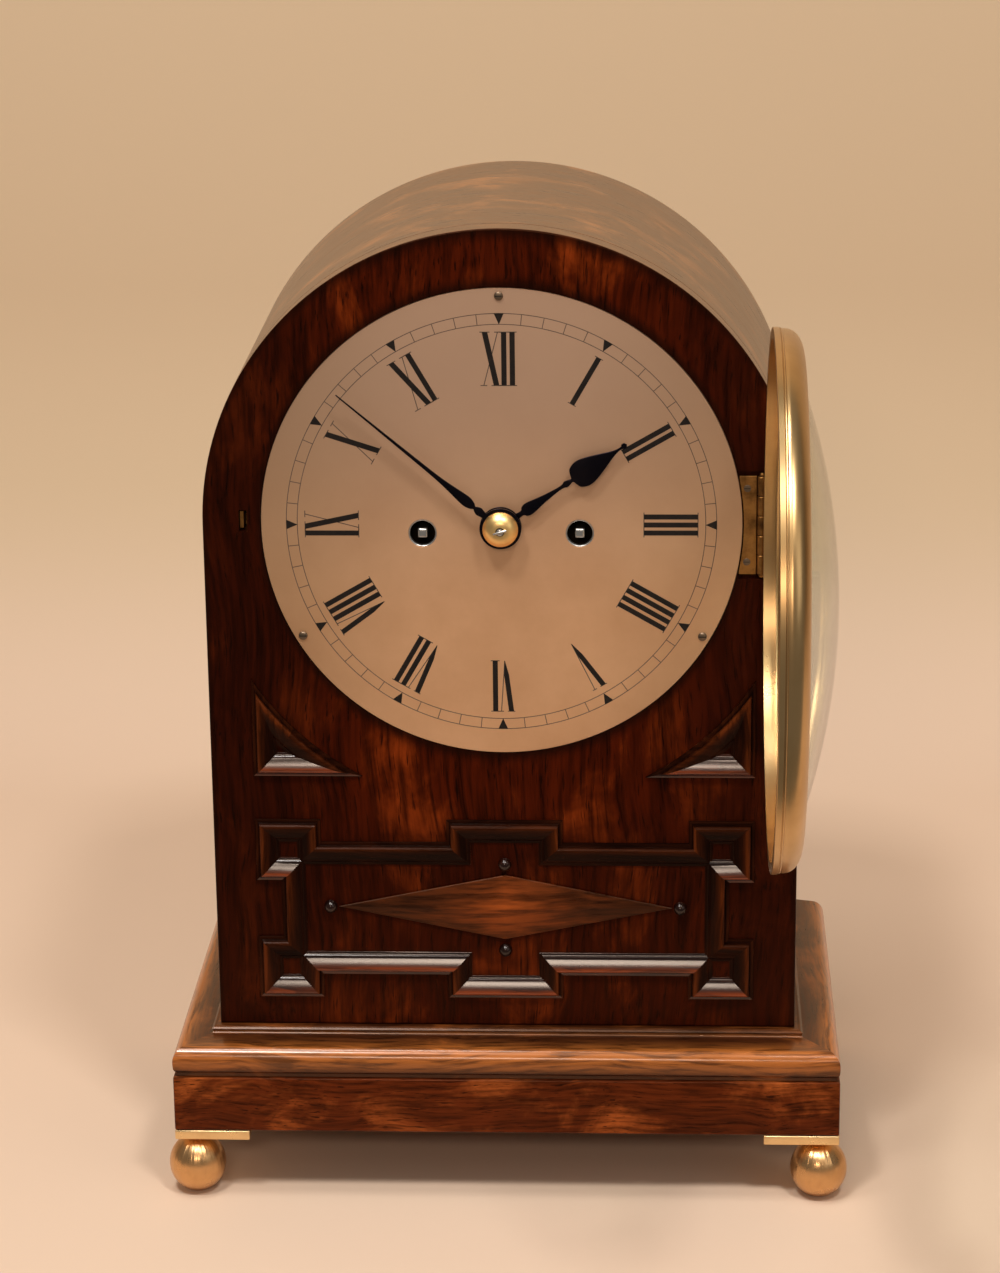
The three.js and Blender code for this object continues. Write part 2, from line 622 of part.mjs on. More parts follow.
// the catch: a plate behind the front board, with a nose that shows in the slot
const catch_y = front_board_thick + seam;
piece('catch_plate', 'brass', join(
  block(-catch_x - catch_plate_reach, catch_y, catch_z - catch_plate_half_height,
    -catch_x + catch_plate_reach, catch_y + catch_plate_thick, catch_z + catch_plate_half_height),
  block(-catch_x - catch_slot_width / 2 + seam, catch_nose_deep, catch_z - catch_nose_half_height,
    -catch_x, catch_y + 0.5, catch_z + catch_nose_half_height),
), body);

// ---- hands ----------------------------------------------------------------------------------
function hand(stations, y_front, hub) {
  const side = stations.map(([r, half]) => [half, r]);
  const point = stations.at(-1);
  const blade = [...side.map(([half, r]) => [-half, r]), [0, point[0] + 0.4], ...side.reverse()];
  const disc = plate(circle(0, 0, hand_hub_radius, 24), y_front, hand_thick);
  const hole = plate(circle(0, 0, hub, 20), y_front - 1, hand_thick + 2);
  return cut(join(plate(blade.reverse(), y_front, hand_thick), disc), hole);
}
const hour_hand_y = dial_front - hour_hand_stand - hand_thick;
const minute_hand_y = hour_hand_y - hand_step - hand_thick;
const pipe_radius = 4.6;
piece('hour_hand', 'blue_steel', hand(hour_stations, hour_hand_y, pipe_radius + seam), body)
  .rotation.y = -radians(hour_hand_turn);
piece('minute_hand', 'blue_steel', hand(minute_stations, minute_hand_y, arbor_radius + 0.5 + seam), body)
  .rotation.y = -radians(minute_hand_turn);

const collet_y = minute_hand_y - seam;
const collet_front = collet_y - collet_height;
const collet_profile = [[arbor_radius + seam, collet_y], [collet_radius, collet_y],
  [collet_radius, collet_y - 1], [collet_radius * 0.94, collet_y - 2.1], [collet_radius * 0.72, collet_y - 3.5],
  [collet_radius * 0.42, collet_front + 0.3], [arbor_radius + seam, collet_front]];
piece('hand_collet', 'brass', turned([...collet_profile, collet_profile[0]].reverse(), 24), body);

// ---- movement -------------------------------------------------------------------------------
const back_plate_y = front_plate_y + plate_thick + plate_gap;
const plate_shape = [[-plate_half_width, plate_bottom], [plate_half_width, plate_bottom],
  [plate_half_width, plate_top], [-plate_half_width, plate_top]];
const fusee_spots = [[-winding_half_spacing, -winding_drop], [winding_half_spacing, -winding_drop]];
const barrel_spots = [[-barrel_x, barrel_z], [barrel_x, barrel_z]];
const pivot = arbor_radius + running;
const minute_wheel_angle = 270;
const motion_spacing = cannon_pitch_radius * 2;
const minute_wheel_spot = polar(motion_spacing, minute_wheel_angle);
const pillar_spots = [[-1, 1], [1, 1], [-1, -1], [1, -1]].map(([x, z]) =>
  [x * (plate_half_width - pillar_inset), z > 0 ? plate_top - pillar_inset : plate_bottom + pillar_inset]);
const arbor_holes = [[0, 0], ...fusee_spots, ...barrel_spots, [0, escape_height]]
  .map(([x, z]) => circle(x, z, pivot, 8));
const pillar_holes = pillar_spots.map(([x, z]) => circle(x, z, pillar_end_radius + seam, 8));
piece('front_plate', 'brass', plate(plate_shape, front_plate_y, plate_thick, [...arbor_holes,
  circle(0, pallet_height, pivot, 8), circle(...minute_wheel_spot, pivot, 8), ...pillar_holes]), body);
const pillar_front = front_plate_y + plate_thick;
const pillar_middle = pillar_front + plate_gap / 2;
const collar = pillar_radius + pillar_collar;
const pillar_profile = [[0, pillar_front - 4.6], [pillar_end_radius, pillar_front - 4.6],
  [pillar_end_radius, pillar_front + seam], [collar, pillar_front + seam], [collar, pillar_front + 5],
  [pillar_radius * 0.7, pillar_front + 8], [pillar_radius, pillar_middle],
  [pillar_radius * 0.7, back_plate_y - 8],
  [collar, back_plate_y - 5], [collar, back_plate_y + 0.5], [0, back_plate_y + 0.5]];
piece('back_plate', 'brass', join(
  plate(plate_shape, back_plate_y, plate_thick, [...arbor_holes, circle(0, pallet_height, 7, 20)]),
  ...pillar_spots.map(([x, z]) => turned(pillar_profile, 8).translate(x, 0, z))), body);

const cock_y = back_plate_y + plate_thick + seam;
const pendulum_y = cock_y + cock_reach + pendulum_gap;
const bridge_y = cock_y + cock_reach;
const cock_foot = (x) => block(x, cock_y, pallet_height - cock_low,
  x + cock_foot_width, bridge_y - 1, pallet_height + cock_low - 1);
const cock = join(
  block(-cock_half_width, bridge_y - cock_bridge_thick, pallet_height - cock_low,
    cock_half_width, bridge_y, pallet_height + cock_high),
  cock_foot(-cock_half_width),
  cock_foot(cock_half_width - cock_foot_width),
  block(-3, bridge_y - 1, pallet_height + cock_low - 1, 3, pendulum_y + 3, pallet_height + cock_high),
);
piece('back_cock', 'brass', cut(cock, rod(0, pallet_height, pivot, cock_y - 1, bridge_y + 1)), body);
const seat_top = plate_bottom - seam;
piece('seatboard', 'pale_wood', block(-inside_half + seam, shell_front, seat_top - seatboard_thick,
  inside_half - seam, back_plate_y + plate_thick + 1, seat_top), body);

// motion work: the cannon wheel drives the minute wheel, and its pinion drives the hour wheel
const cannon_y = front_plate_y - 3.4;
const cannon_thick = gear_thick - 0.4;
const pipe_wall = 0.5;
const hour_y = dial_back + 2.2;
const centre_wheel_y = back_plate_y - 6;
const centre_top = collet_y - collet_height - 0.6;
const back_pivot = back_plate_y + plate_thick + pivot_proud;
const cannon_wheel = (start) => toothed(cannon_teeth, cannon_pitch_radius, tooth_high, tooth_low,
  cannon_y, cannon_thick, start);
piece('centre_arbor', 'brass', join(
  rod(0, 0, arbor_radius, centre_top, back_pivot),
  rod(0, 0, arbor_radius + pipe_wall, minute_hand_y, cannon_y + cannon_thick - 0.1),
  cannon_wheel(minute_wheel_angle),
  pointed(centre_wheel_teeth, centre_wheel_radius, centre_wheel_y),
  rod(0, 0, 3.4, front_plate_y + plate_thick + 2, front_plate_y + plate_thick + 9),
), body);
const minute_face = minute_wheel_angle + 180;
const hour_back = hour_y + gear_thick;
const hour_rim = toothed(hour_teeth, hour_wheel_pitch_radius, tooth_high, tooth_low,
  hour_y, gear_thick, minute_wheel_angle);
piece('hour_wheel', 'brass', cut(
  join(hour_rim, rod(0, 0, pipe_radius, hour_hand_y, hour_back, 20)),
  rod(0, 0, arbor_radius + pipe_wall + running, hour_hand_y - 1, hour_back + 1, 20)), body);
const minute_wheel = piece('minute_wheel', 'brass', join(
  cannon_wheel(minute_face + 180 / cannon_teeth),
  toothed(minute_pinion_leaves, motion_spacing - hour_wheel_pitch_radius, tooth_high, tooth_low,
    hour_y, cannon_y - hour_y + 0.5, minute_face + 180 / minute_pinion_leaves, 0, 0.3),
  rod(0, 0, arbor_radius - 0.4, hour_y, front_plate_y + plate_thick + pivot_proud),
), body);
minute_wheel.position.set(minute_wheel_spot[0], 0, minute_wheel_spot[1]);

// fusees with their great wheels and winding squares, and the spring barrels
const wheel_y = front_plate_y + plate_thick + 3;
const fusee_end = back_plate_y - 12;
const cone_front = wheel_y + gear_thick - 0.5;
const cone_start = wheel_y + 6;
const cone = [[0, cone_front], [fusee_large, cone_front], [fusee_large, cone_start]];
for (let i = 1; i <= 4; i += 1) {
  const left = (1 - i / 4) ** 1.5;
  cone.push([fusee_small + (fusee_large - fusee_small) * left, cone_start + (fusee_end - cone_start) * i / 4]);
}
cone.push([0, fusee_end]);
const drum_back = back_plate_y - 5;
const drum_front = drum_back - barrel_length;
const drum_rim = barrel_radius + barrel_rim;
const drum = [[0, drum_front], [drum_rim, drum_front], [drum_rim, drum_front + barrel_rim_thick],
  [barrel_radius, drum_front + barrel_rim_thick], [barrel_radius, drum_back - barrel_rim_thick],
  [drum_rim, drum_back - barrel_rim_thick], [drum_rim, drum_back], [0, drum_back]];
['strike', 'going'].forEach((name, i) => {
  piece(`${name}_fusee`, 'brass', join(
    turned(cone, 20),
    pointed(great_wheel_teeth, great_wheel_pitch, wheel_y),
    rod(0, 0, arbor_radius + 0.2, dial_back + 0.8, back_pivot),
    block(-square_half, dial_front + 0.4, -square_half, square_half, front_plate_y - 0.6, square_half),
  ), body).position.set(fusee_spots[i][0], 0, fusee_spots[i][1]);
  piece(`${name}_barrel`, 'brass', join(
    turned(drum, 24),
    rod(0, 0, arbor_radius, front_plate_y - 2, back_plate_y + plate_thick + 2),
  ), body).position.set(barrel_spots[i][0], 0, barrel_spots[i][1]);
});

// escapement and pendulum
const escape_y = back_plate_y - 14;
const escape_points = [];
for (let i = 0; i < escape_teeth; i += 1) {
  const at = i * 360 / escape_teeth;
  escape_points.push(polar(escape_radius - escape_tooth, at), polar(escape_radius, at + 6),
    polar(escape_radius, at + 7));
}
piece('escape_wheel', 'brass', join(
  plate(escape_points, escape_y, gear_thick - 0.5),
  rod(0, 0, arbor_radius - 0.2, front_plate_y + pivot_proud, back_plate_y + plate_thick - 0.4),
  rod(0, 0, 2.6, escape_y - 14, escape_y - 7)), body).position.set(0, 0, escape_height);
const pallet_drop = pallet_height - escape_height;
const [tip_x, tip_z] = polar(escape_radius + 1.2, 52);
const tip_low = tip_z - pallet_drop;
const pallet_half = [[2, -3.2], [tip_x - 0.4, tip_low + 0.8], [tip_x + 2, tip_low],
  [tip_x + 1, tip_low + 4], [3, 2.5]];
const pallet_arm = [...pallet_half, ...pallet_half.map(([x, z]) => [-x, z]).reverse()];
const crutch_y = cock_y + 5.5;
const crutch_drop = -46;
const fork_foot = (x) => block(x, crutch_y, crutch_drop, x + 1.3, pendulum_y + 3, crutch_drop + 2);
piece('pallets_and_crutch', 'steel', join(
  plate(pallet_arm, escape_y - 1, gear_thick + 1),
  rod(0, 0, arbor_radius - 0.2, front_plate_y + pivot_proud, bridge_y - pivot_proud),
  block(-1.2, crutch_y, crutch_drop, 1.2, crutch_y + 1.6, 1),
  block(-3.4, crutch_y, crutch_drop, 3.4, crutch_y + 1.6, crutch_drop + 2),
  fork_foot(-3.4),
  fork_foot(2.1),
), body).position.set(0, 0, pallet_height);
const rod_foot = -bob_drop - pallet_height - bob_radius - pendulum_rod_below_bob;
const rod_head = cock_low - 1 - seam;
const rod_y = [pendulum_y - pendulum_rod_half_thick, pendulum_y + pendulum_rod_half_thick];
piece('pendulum_rod', 'steel', join(
  block(-pendulum_rod_half, rod_y[0], rod_foot, pendulum_rod_half, rod_y[1], -6),
  block(-2.4, pendulum_y - 0.2, -7, 2.4, pendulum_y + 0.2, rod_head),
), body).position.set(0, 0, pallet_height);
const slot_half = pendulum_rod_half + seam;
const bob_slot = block(-slot_half, rod_y[0] - seam, -bob_radius - 1,
  slot_half, rod_y[1] + seam, bob_radius + 1);
const bob_half = [[bob_radius, 0.8], [bob_radius * 0.85, bob_half_thick * 0.4],
  [bob_radius * 0.5, bob_half_thick * 0.8], [0, bob_half_thick]];
const bob_profile = [...bob_half.map(([r, y]) => [r, -y]).reverse(), ...bob_half];
piece('pendulum_bob', 'brass', cut(turned(bob_profile, 24).translate(0, pendulum_y, 0), bob_slot), body)
  .position.set(0, 0, -bob_drop);

// bell on its stand, and the hammer beside it
const bell_curve = (grow) => [[bell_radius + grow, 0], [bell_radius - 1.5 + grow, 5],
  [bell_radius - 5 + grow, 12], [bell_radius - 12 + grow * 0.8, bell_depth - 4.5 + grow * 0.6],
  [bell_radius * 0.45, bell_depth - 1 + grow]];
const bell_hole = bell_stud_radius + seam;
piece('bell', 'brass', upright([...bell_curve(0), [bell_hole, bell_depth], [bell_hole, bell_depth - bell_wall],
  ...bell_curve(-bell_wall).reverse(), bell_curve(0)[0]], 20).translate(0, bell_y, bell_mouth), body);
const stand_y = back_plate_y + plate_thick + seam;
const stand_arm_z = plate_top + 2.4;
const shoulder_z = bell_mouth + bell_depth - bell_wall - seam;
const nut_z = bell_mouth + bell_depth + seam;
piece('bell_stand', 'steel', join(
  upright([[0, stand_arm_z + 1], [bell_column_radius, stand_arm_z + 1], [bell_column_radius, shoulder_z],
    [bell_stud_radius, shoulder_z], [bell_stud_radius, nut_z], [bell_nut_radius, nut_z],
    [bell_nut_radius, nut_z + 1.6], [0, nut_z + 2.6]], 12).translate(0, bell_y, 0),
  block(-bell_column_radius, bell_y - bell_column_radius, stand_arm_z,
    bell_column_radius, stand_y + stand_thick, stand_arm_z + stand_thick),
  block(-stand_foot_half, stand_y, plate_top - 8,
    stand_foot_half, stand_y + stand_thick, stand_arm_z + stand_thick),
), body);
const hammer_head_z = bell_mouth + 6 - hammer_pivot_z;
const hammer_head_x = -bell_radius - hammer_rest_gap - hammer_pivot_x;
piece('hammer', 'steel', join(
  rod(0, 0, arbor_radius, front_plate_y + plate_thick + seam, back_plate_y - seam),
  block(-hammer_arm_half, bell_y - hammer_arm_half, 0,
    hammer_arm_half, bell_y + hammer_arm_half, hammer_head_z),
  block(-hammer_arm_half, bell_y - 3, hammer_head_z - hammer_head_half,
    hammer_head_x, bell_y + 3, hammer_head_z + hammer_head_half),
), body).position.set(hammer_pivot_x, 0, hammer_pivot_z);

// ---- back door: an arched frame in the back opening, hinged at its left as seen from the front
const door = new THREE.Group();
const door_half = inside_half - door_clearance;
const door_foot = foot + door_clearance;
const door_front = case_depth - door_thick;
body.add(door);
const arched = (half, low, steps) => [[-half, low], [half, low], ...arc(0, 0, half, 0, 180, steps)];
const knob_x = door_half - door_stile / 2;
const rebate_half = door_half - door_stile + door_rebate;
const rebate_foot = door_foot + door_stile - door_rebate;
const rebate_depth = door_thick / 2;
piece('back_door_frame', 'dark_wood', cut(
  plate(arched(door_half, door_foot, arch_steps), door_front, door_thick),
  plate(arched(door_half - door_stile, door_foot + door_stile, 24), door_front - 1, door_thick + 2),
  plate(arched(rebate_half, rebate_foot, 24), door_front - 1, 1 + rebate_depth),
  rod(knob_x, knob_z, catch_spindle + running, door_front - 1, case_depth + 1, 16),
), door);
piece('back_door_glass', 'glass', plate(arched(rebate_half - seam, rebate_foot + seam, 24),
  door_front + rebate_depth - seam - door_glass_thick, door_glass_thick), door);
const knob_y = case_depth + seam;
piece('back_door_catch', 'brass', join(
  turned([[0, knob_y], [knob_radius * 0.7, knob_y], [knob_radius * 0.5, knob_y + 3], [knob_radius, knob_y + 6],
    [knob_radius * 0.95, knob_y + 8.5], [knob_radius * 0.5, knob_y + knob_length - 0.3],
    [0, knob_y + knob_length]], 16),
  rod(0, 0, catch_spindle, door_front - 3, knob_y + 1, 12),
  block(-catch_tongue_half, door_front - seam - catch_tongue_thick, -catch_tongue_half,
    catch_tongue_half, door_front - seam, catch_tongue_reach),
), door).position.set(knob_x, 0, knob_z);

// two butt hinges: the case's halves are screwed on the side's back edge
const door_axis_x = -inside_half + 0.4;
const door_axis_y = case_depth + door_knuckle_radius;
door_hinge_heights.forEach((z, i) => {
  const half = door_hinge_height / 2;
  const name = i ? 'lower' : 'upper';
  const leaf = block(-shell_thick + 1.5, seam - door_knuckle_radius, -half,
    -1, door_leaf_thick + seam - door_knuckle_radius, half);
  piece(`door_hinge_${name}`, 'brass', join(leaf, column(door_knuckle_radius, -half, half)), body)
    .position.set(door_axis_x, door_axis_y, z);
});

export default clock;
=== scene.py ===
# A bracket clock of about 1820, dressed over its CAD frame: veneered case, engraved dial, brass bezel.
import bpy
import bmesh
import math
from mathutils import Matrix, Vector


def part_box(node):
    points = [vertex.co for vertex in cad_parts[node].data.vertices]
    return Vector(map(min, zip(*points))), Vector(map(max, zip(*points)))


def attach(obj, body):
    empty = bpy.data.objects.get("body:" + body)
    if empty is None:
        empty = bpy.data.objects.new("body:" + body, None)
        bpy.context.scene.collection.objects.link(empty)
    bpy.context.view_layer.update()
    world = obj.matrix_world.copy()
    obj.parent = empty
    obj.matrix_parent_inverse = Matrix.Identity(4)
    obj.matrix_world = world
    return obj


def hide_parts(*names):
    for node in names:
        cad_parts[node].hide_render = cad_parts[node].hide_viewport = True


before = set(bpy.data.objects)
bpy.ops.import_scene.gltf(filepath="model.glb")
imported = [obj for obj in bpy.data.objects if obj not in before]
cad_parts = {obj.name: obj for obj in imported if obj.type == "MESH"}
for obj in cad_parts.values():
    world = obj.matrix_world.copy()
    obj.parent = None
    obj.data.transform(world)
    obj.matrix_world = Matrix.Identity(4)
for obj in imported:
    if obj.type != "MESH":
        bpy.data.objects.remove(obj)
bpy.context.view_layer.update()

# ---- camera -------------------------------------------------------------------------------------
# Where the photograph was taken from: a long lens, 17 degrees down and a little to the right.
CENTRE = Vector((0, -0.07075, 0.3036))     # dial's centre, on the case's front face
FOCAL_PIXELS, PHOTO_HEIGHT, SENSOR_MM = 3555.32, 1273, 36


def placed(name, data):
    """A new object in the scene, at the origin."""
    made = bpy.data.objects.new(name, data)
    bpy.context.scene.collection.objects.link(made)
    return made


yaw, pitch, roll = math.radians(-2.743), math.radians(-17.42), math.radians(-0.657)
ahead = Vector((math.sin(yaw) * math.cos(pitch), math.cos(yaw) * math.cos(pitch), math.sin(pitch)))
level = Vector((math.cos(yaw), -math.sin(yaw), 0))
above = level.cross(ahead)
across = math.cos(roll) * level + math.sin(roll) * above
upward = -math.sin(roll) * level + math.cos(roll) * above
camera = placed("camera", bpy.data.cameras.new("camera"))
camera.data.lens = FOCAL_PIXELS * SENSOR_MM / PHOTO_HEIGHT
camera.data.clip_start, camera.data.clip_end = 0.05, 30
facing = Matrix((across, upward, -ahead)).transposed().to_4x4()
camera.matrix_world = Matrix.Translation(CENTRE + Vector((0.06813, -1.44198, 0.40373))) @ facing
bpy.context.scene.camera = camera
bpy.context.scene.view_settings.view_transform = "Standard"


# ---- plinth and base ----------------------------------------------------------------------------
# A plain board with eased edges, and on it a moulded base with a rounded nose, run round three sides
# and flush behind. Both are polished wood with the grain along each side, the base lighter at the nose.
MM = 0.001


def fill(made, inputs):
    """Sets a node's inputs, each to a value or to a link from the output that is given."""
    for key, value in inputs.items():
        socket = made.inputs[key]
        if isinstance(value, bpy.types.NodeSocket):
            made.id_data.links.new(value, socket)
        else:
            socket.default_value = (*value, 1) if socket.type == "RGBA" else value
    return made


def node(tree, kind, inputs, **settings):
    made = tree.nodes.new(kind)
    for key, value in settings.items():
        setattr(made, key, value)
    return fill(made, inputs)


def noise(tree, place, scale, detail, rough=0.5, bend=0.0, give="Fac"):
    inputs = {"Vector": place, "Scale": scale, "Detail": detail, "Roughness": rough, "Distortion": bend}
    return node(tree, "ShaderNodeTexNoise", inputs).outputs[give]


def ramp(tree, value, start, end, first=0.0, last=1.0, kind="LINEAR"):
    inputs = {0: value, 1: start, 2: end, 3: first, 4: last}
    return node(tree, "ShaderNodeMapRange", inputs, interpolation_type=kind).outputs[0]


def maths(tree, operation, first, second=0.0):
    return node(tree, "ShaderNodeMath", {0: first, 1: second}, operation=operation).outputs[0]


def mix(tree, share, first, second):
    return node(tree, "ShaderNodeMix", {0: share, 6: first, 7: second}, data_type="RGBA").outputs[2]


def bump(tree, height, strength, distance):
    inputs = {"Height": height, "Strength": strength, "Distance": distance}
    return node(tree, "ShaderNodeBump", inputs).outputs[0]


def group(name, inputs, outputs, kind="ShaderNodeTree"):
    """A node group: the tree, the outputs of its input node, and its output node."""
    tree = bpy.data.node_groups.new(name, kind)
    for way, sockets in (("INPUT", inputs), ("OUTPUT", outputs)):
        for label, sort in sockets.items():
            tree.interface.new_socket(name=label, in_out=way, socket_type="NodeSocket" + sort)
    return tree, tree.nodes.new("NodeGroupInput").outputs, tree.nodes.new("NodeGroupOutput")


def blank(name):
    made = bpy.data.materials.new(name)
    made.use_nodes = True
    return made, made.node_tree, made.node_tree.nodes["Principled BSDF"]


# the group for every veneer: fine fibres and dark pores along the grain, the group's Z, over broad figure
veneer, given, result = group(
    "veneer", {"Place": "Vector", "Dark": "Color", "Body": "Color", "Light": "Color", "Figure": "Float",
               "Pores": "Float"}, {"Colour": "Color", "Roughness": "Float", "Height": "Float"})
warp = noise(veneer, given["Place"], 9.0, 2.0, give="Color")
centred = node(veneer, "ShaderNodeVectorMath", {0: warp, 1: (0.5, 0.5, 0.5)}, operation="SUBTRACT")
bent = {0: centred.outputs[0], 1: (0.022, 0.022, 0.0), 2: given["Place"]}
bent = node(veneer, "ShaderNodeVectorMath", bent, operation="MULTIPLY_ADD").outputs[0]
long_way = node(veneer, "ShaderNodeMapping", {"Vector": bent, "Scale": (1, 1, 0.06)}).outputs[0]
short_way = node(veneer, "ShaderNodeMapping", {"Vector": bent, "Scale": (1, 1, 0.5)}).outputs[0]
fibres = noise(veneer, long_way, 1100.0, 2.0, 0.6)
streaks = noise(veneer, long_way, 420.0, 3.0, 0.55)
flames = noise(veneer, short_way, 30.0, 5.0, 0.62, 0.5)
flames = maths(veneer, "MULTIPLY", ramp(veneer, flames, 0.48, 0.70, kind="SMOOTHSTEP"), given["Figure"])
bands = ramp(veneer, streaks, 0.34, 0.62, 0.25)
plain = mix(veneer, bands, given["Dark"], given["Body"])
figured = mix(veneer, maths(veneer, "MULTIPLY", flames, bands), plain, given["Light"])
pores = maths(veneer, "MULTIPLY", ramp(veneer, fibres, 0.60, 0.68), given["Pores"])
fill(result, {"Colour": mix(veneer, pores, figured, given["Dark"]),
              "Roughness": ramp(veneer, streaks, 0.3, 0.7, 0.26, 0.40),
              "Height": maths(veneer, "SUBTRACT", fibres, pores)})

# edges lightened towards bare wood in patches that follow the grain, where the mesh's wear says so
# on the mouldings it is lighter along the ridge, and strongest on the runs that face up, where it is painted
# light
rubbed_and_lit_edges, given, result = group(
    "rubbed_and_lit_edges", {"Colour": "Color", "Bare": "Color", "Wear_and_light": "Float", "Grain": "Float"},
    {"Colour": "Color"})
patchy = maths(rubbed_and_lit_edges, "MULTIPLY", given["Wear_and_light"], ramp(rubbed_and_lit_edges, given["Grain"], 0.29, 0.355, 0.30))
fill(result, {"Colour": mix(rubbed_and_lit_edges, patchy, given["Colour"], given["Bare"])})


def wood(name, tones, grain="z", figure=1.0, pores=0.5, scale=1.0, offset=(0, 0, 0), specular=0.3,
         tint=(1.0, 0.42, 0.22), polish=1.0, coat=0.0, worn=None):
    """Polished veneer in dark, body and light tones, with its grain along x, y, z or the mesh's UV."""
    made, tree, shader = blank(name)
    turns = {"x": (0, math.pi / 2, 0), "y": (math.pi / 2, 0, 0), "z": (0, 0, 0), "uv": (0, math.pi / 2, 0)}
    place = node(tree, "ShaderNodeTexCoord", {}, name="place").outputs["UV" if grain == "uv" else "Object"]
    mapped = node(tree, "ShaderNodeMapping", {"Vector": place, "Rotation": turns[grain],
                                              "Scale": (scale, scale, scale), "Location": offset})
    inputs = {"Place": mapped.outputs[0], "Figure": figure, "Pores": pores}
    inputs.update(zip(("Dark", "Body", "Light"), tones))
    skin = node(tree, "ShaderNodeGroup", inputs, node_tree=veneer, name="skin").outputs
    rough = maths(tree, "MULTIPLY", skin["Roughness"], polish)
    fill(shader, {"Base Color": skin["Colour"], "Roughness": rough, "Specular IOR Level": specular,
                  "Specular Tint": tint, "Coat Weight": coat, "Coat Roughness": 0.32,
                  "Normal": bump(tree, skin["Height"], 0.12, 0.0003)})
    if worn:      # the mesh's polish says where wax is left on
        wear = node(tree, "ShaderNodeAttribute", {}, attribute_name="wear").outputs["Fac"]
        waxed = node(tree, "ShaderNodeAttribute", {}, attribute_name="polish").outputs["Fac"]
        edges = node(tree, "ShaderNodeGroup", {"Colour": skin["Colour"], "Bare": worn, "Wear_and_light": wear,
                                               "Grain": skin["Roughness"]}, node_tree=rubbed_and_lit_edges)
        fill(shader, {"Base Color": edges.outputs["Colour"], "Coat Weight": waxed, "Coat Roughness": 0.17,
                      "Coat Tint": (1.0, 0.84, 0.72)})
    return made


def shell(name, vertices, faces):
    mesh = bpy.data.meshes.new(name)
    mesh.from_pydata(vertices, [], faces)
    return mesh


def outward(mesh, merge=0.0, thin=0.0):
    """Merges points closer than merge, drops what is thinner than thin, and turns all faces outwards."""
    work = bmesh.new()
    work.from_mesh(mesh)
    if merge:
        bmesh.ops.remove_doubles(work, verts=work.verts, dist=merge)
    if thin:
        bmesh.ops.dissolve_degenerate(work, edges=work.edges, dist=thin)
    bmesh.ops.recalc_face_normals(work, faces=work.faces)
    work.to_mesh(mesh)
    work.free()
    return mesh


def mark(mesh, kind, values, domain="POINT"):
    mesh.attributes.new(kind, "FLOAT", domain).data.foreach_set("value", values)


def finish_piece(name, mesh, materials, replaces=None, body="case", sharp=35, face_materials=None):
    """Shades a mesh smooth up to sharp degrees, gives it its materials, and fits it to the frame."""
    mesh.polygons.foreach_set("use_smooth", [True] * len(mesh.polygons))
    mesh.set_sharp_from_angle(angle=math.radians(sharp))
    for material in materials:
        mesh.materials.append(material)
    if face_materials:
        mesh.polygons.foreach_set("material_index", face_materials)
    made = placed(name, mesh)
    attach(made, body)
    if replaces:
        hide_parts(replaces)


def slab(low, high, ease, steps=3):
    """A block between two corners, with its edges rounded."""
    work = bmesh.new()
    bmesh.ops.create_cube(work, size=1)
    for vertex in work.verts:
        for k in range(3):
            vertex.co[k] = low[k] if vertex.co[k] < 0 else high[k]
    bmesh.ops.bevel(work, geom=work.edges[:] + work.verts[:], offset=ease, segments=steps, profile=0.5,
                    affect="EDGES")
    mesh = bpy.data.meshes.new("slab")
    work.to_mesh(mesh)
    work.free()
    return mesh


plinth_tones = ((0.009, 0.0018, 0.0008), (0.100, 0.017, 0.0036), (0.36, 0.085, 0.017))
plinth_woods = [wood(name, plinth_tones, grain, pores=0.9, scale=1.4, specular=0.2)
                for name, grain in (("plinth_wood", "x"), ("plinth_wood_side", "y"))]
mesh = slab(*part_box("plinth"), 0.0007)
sideways = [1 if abs(p.normal.x) > 0.6 else 0 for p in mesh.polygons]
finish_piece("plinth_board", mesh, plinth_woods, "plinth", face_materials=sideways)

base_tones = ((0.008, 0.0022, 0.0008), (0.048, 0.012, 0.0034), (0.26, 0.075, 0.015))
base_woods = [wood(name, base_tones, grain, pores=0.8, scale=1.3, specular=0.45, tint=(1.0, 0.55, 0.33),
                   worn=(0.43, 0.148, 0.030))
              for name, grain in (("base_wood", "x"), ("base_wood_side", "y"))]
# each point is mm inside the outline, mm above the base's foot, and how far its colour is lightened;
# the nose is part of an ellipse, with a slope and a small bead above it
low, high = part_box("base_moulding")
NOSE, TOP = 2.4, (high.z - low.z) / MM
section = [(1.5, 0, 0), (1.5, NOSE - 0.8, 0), (1.1, NOSE - 0.25, 0), (0.55, NOSE + 0.2, 0),
           (0.25, NOSE + 1.1, 0.2), (0.06, NOSE + 2.4, 0.4), (0, NOSE + 3.6, 0.6)]
section += [(5.6 - 5.6 * math.cos(a), NOSE + 4.4 + 6.3 * math.sin(a), 0.6 + 0.4 * math.sin(2 * a))
            for a in [math.radians(84 * i / 12) for i in range(13)]]
section += [(7.0, NOSE + 10.9, 0.35), (9.5, NOSE + 11.15, 0.12), (13.2, NOSE + 11.6, 0), (15.1, TOP - 3.1, 0),
            (16.0, TOP - 3.1, 0.1), (16.35, TOP - 2.7, 0.25), (16.4, TOP - 2.1, 0.4), (16.2, TOP - 1.5, 0.25),
            (15.95, TOP - 1.2, 0), (16.6, TOP - 0.7, 0), (17.4, TOP - 0.15, 0.1), (18.2, TOP, 0)]
vertices, faces, ways = [], [], []
for inside, up, lightened in section:
    x, front, z = high.x - inside * MM, low.y + inside * MM, low.z + up * MM
    vertices += [(-x, front, z), (x, front, z), (x, high.y, z), (-x, high.y, z)]
for i in range(len(section) - 1):
    for j in range(4):
        k = (j + 1) % 4
        faces.append((i * 4 + j, i * 4 + k, i * 4 + 4 + k, i * 4 + 4 + j))
        ways.append(j % 2)
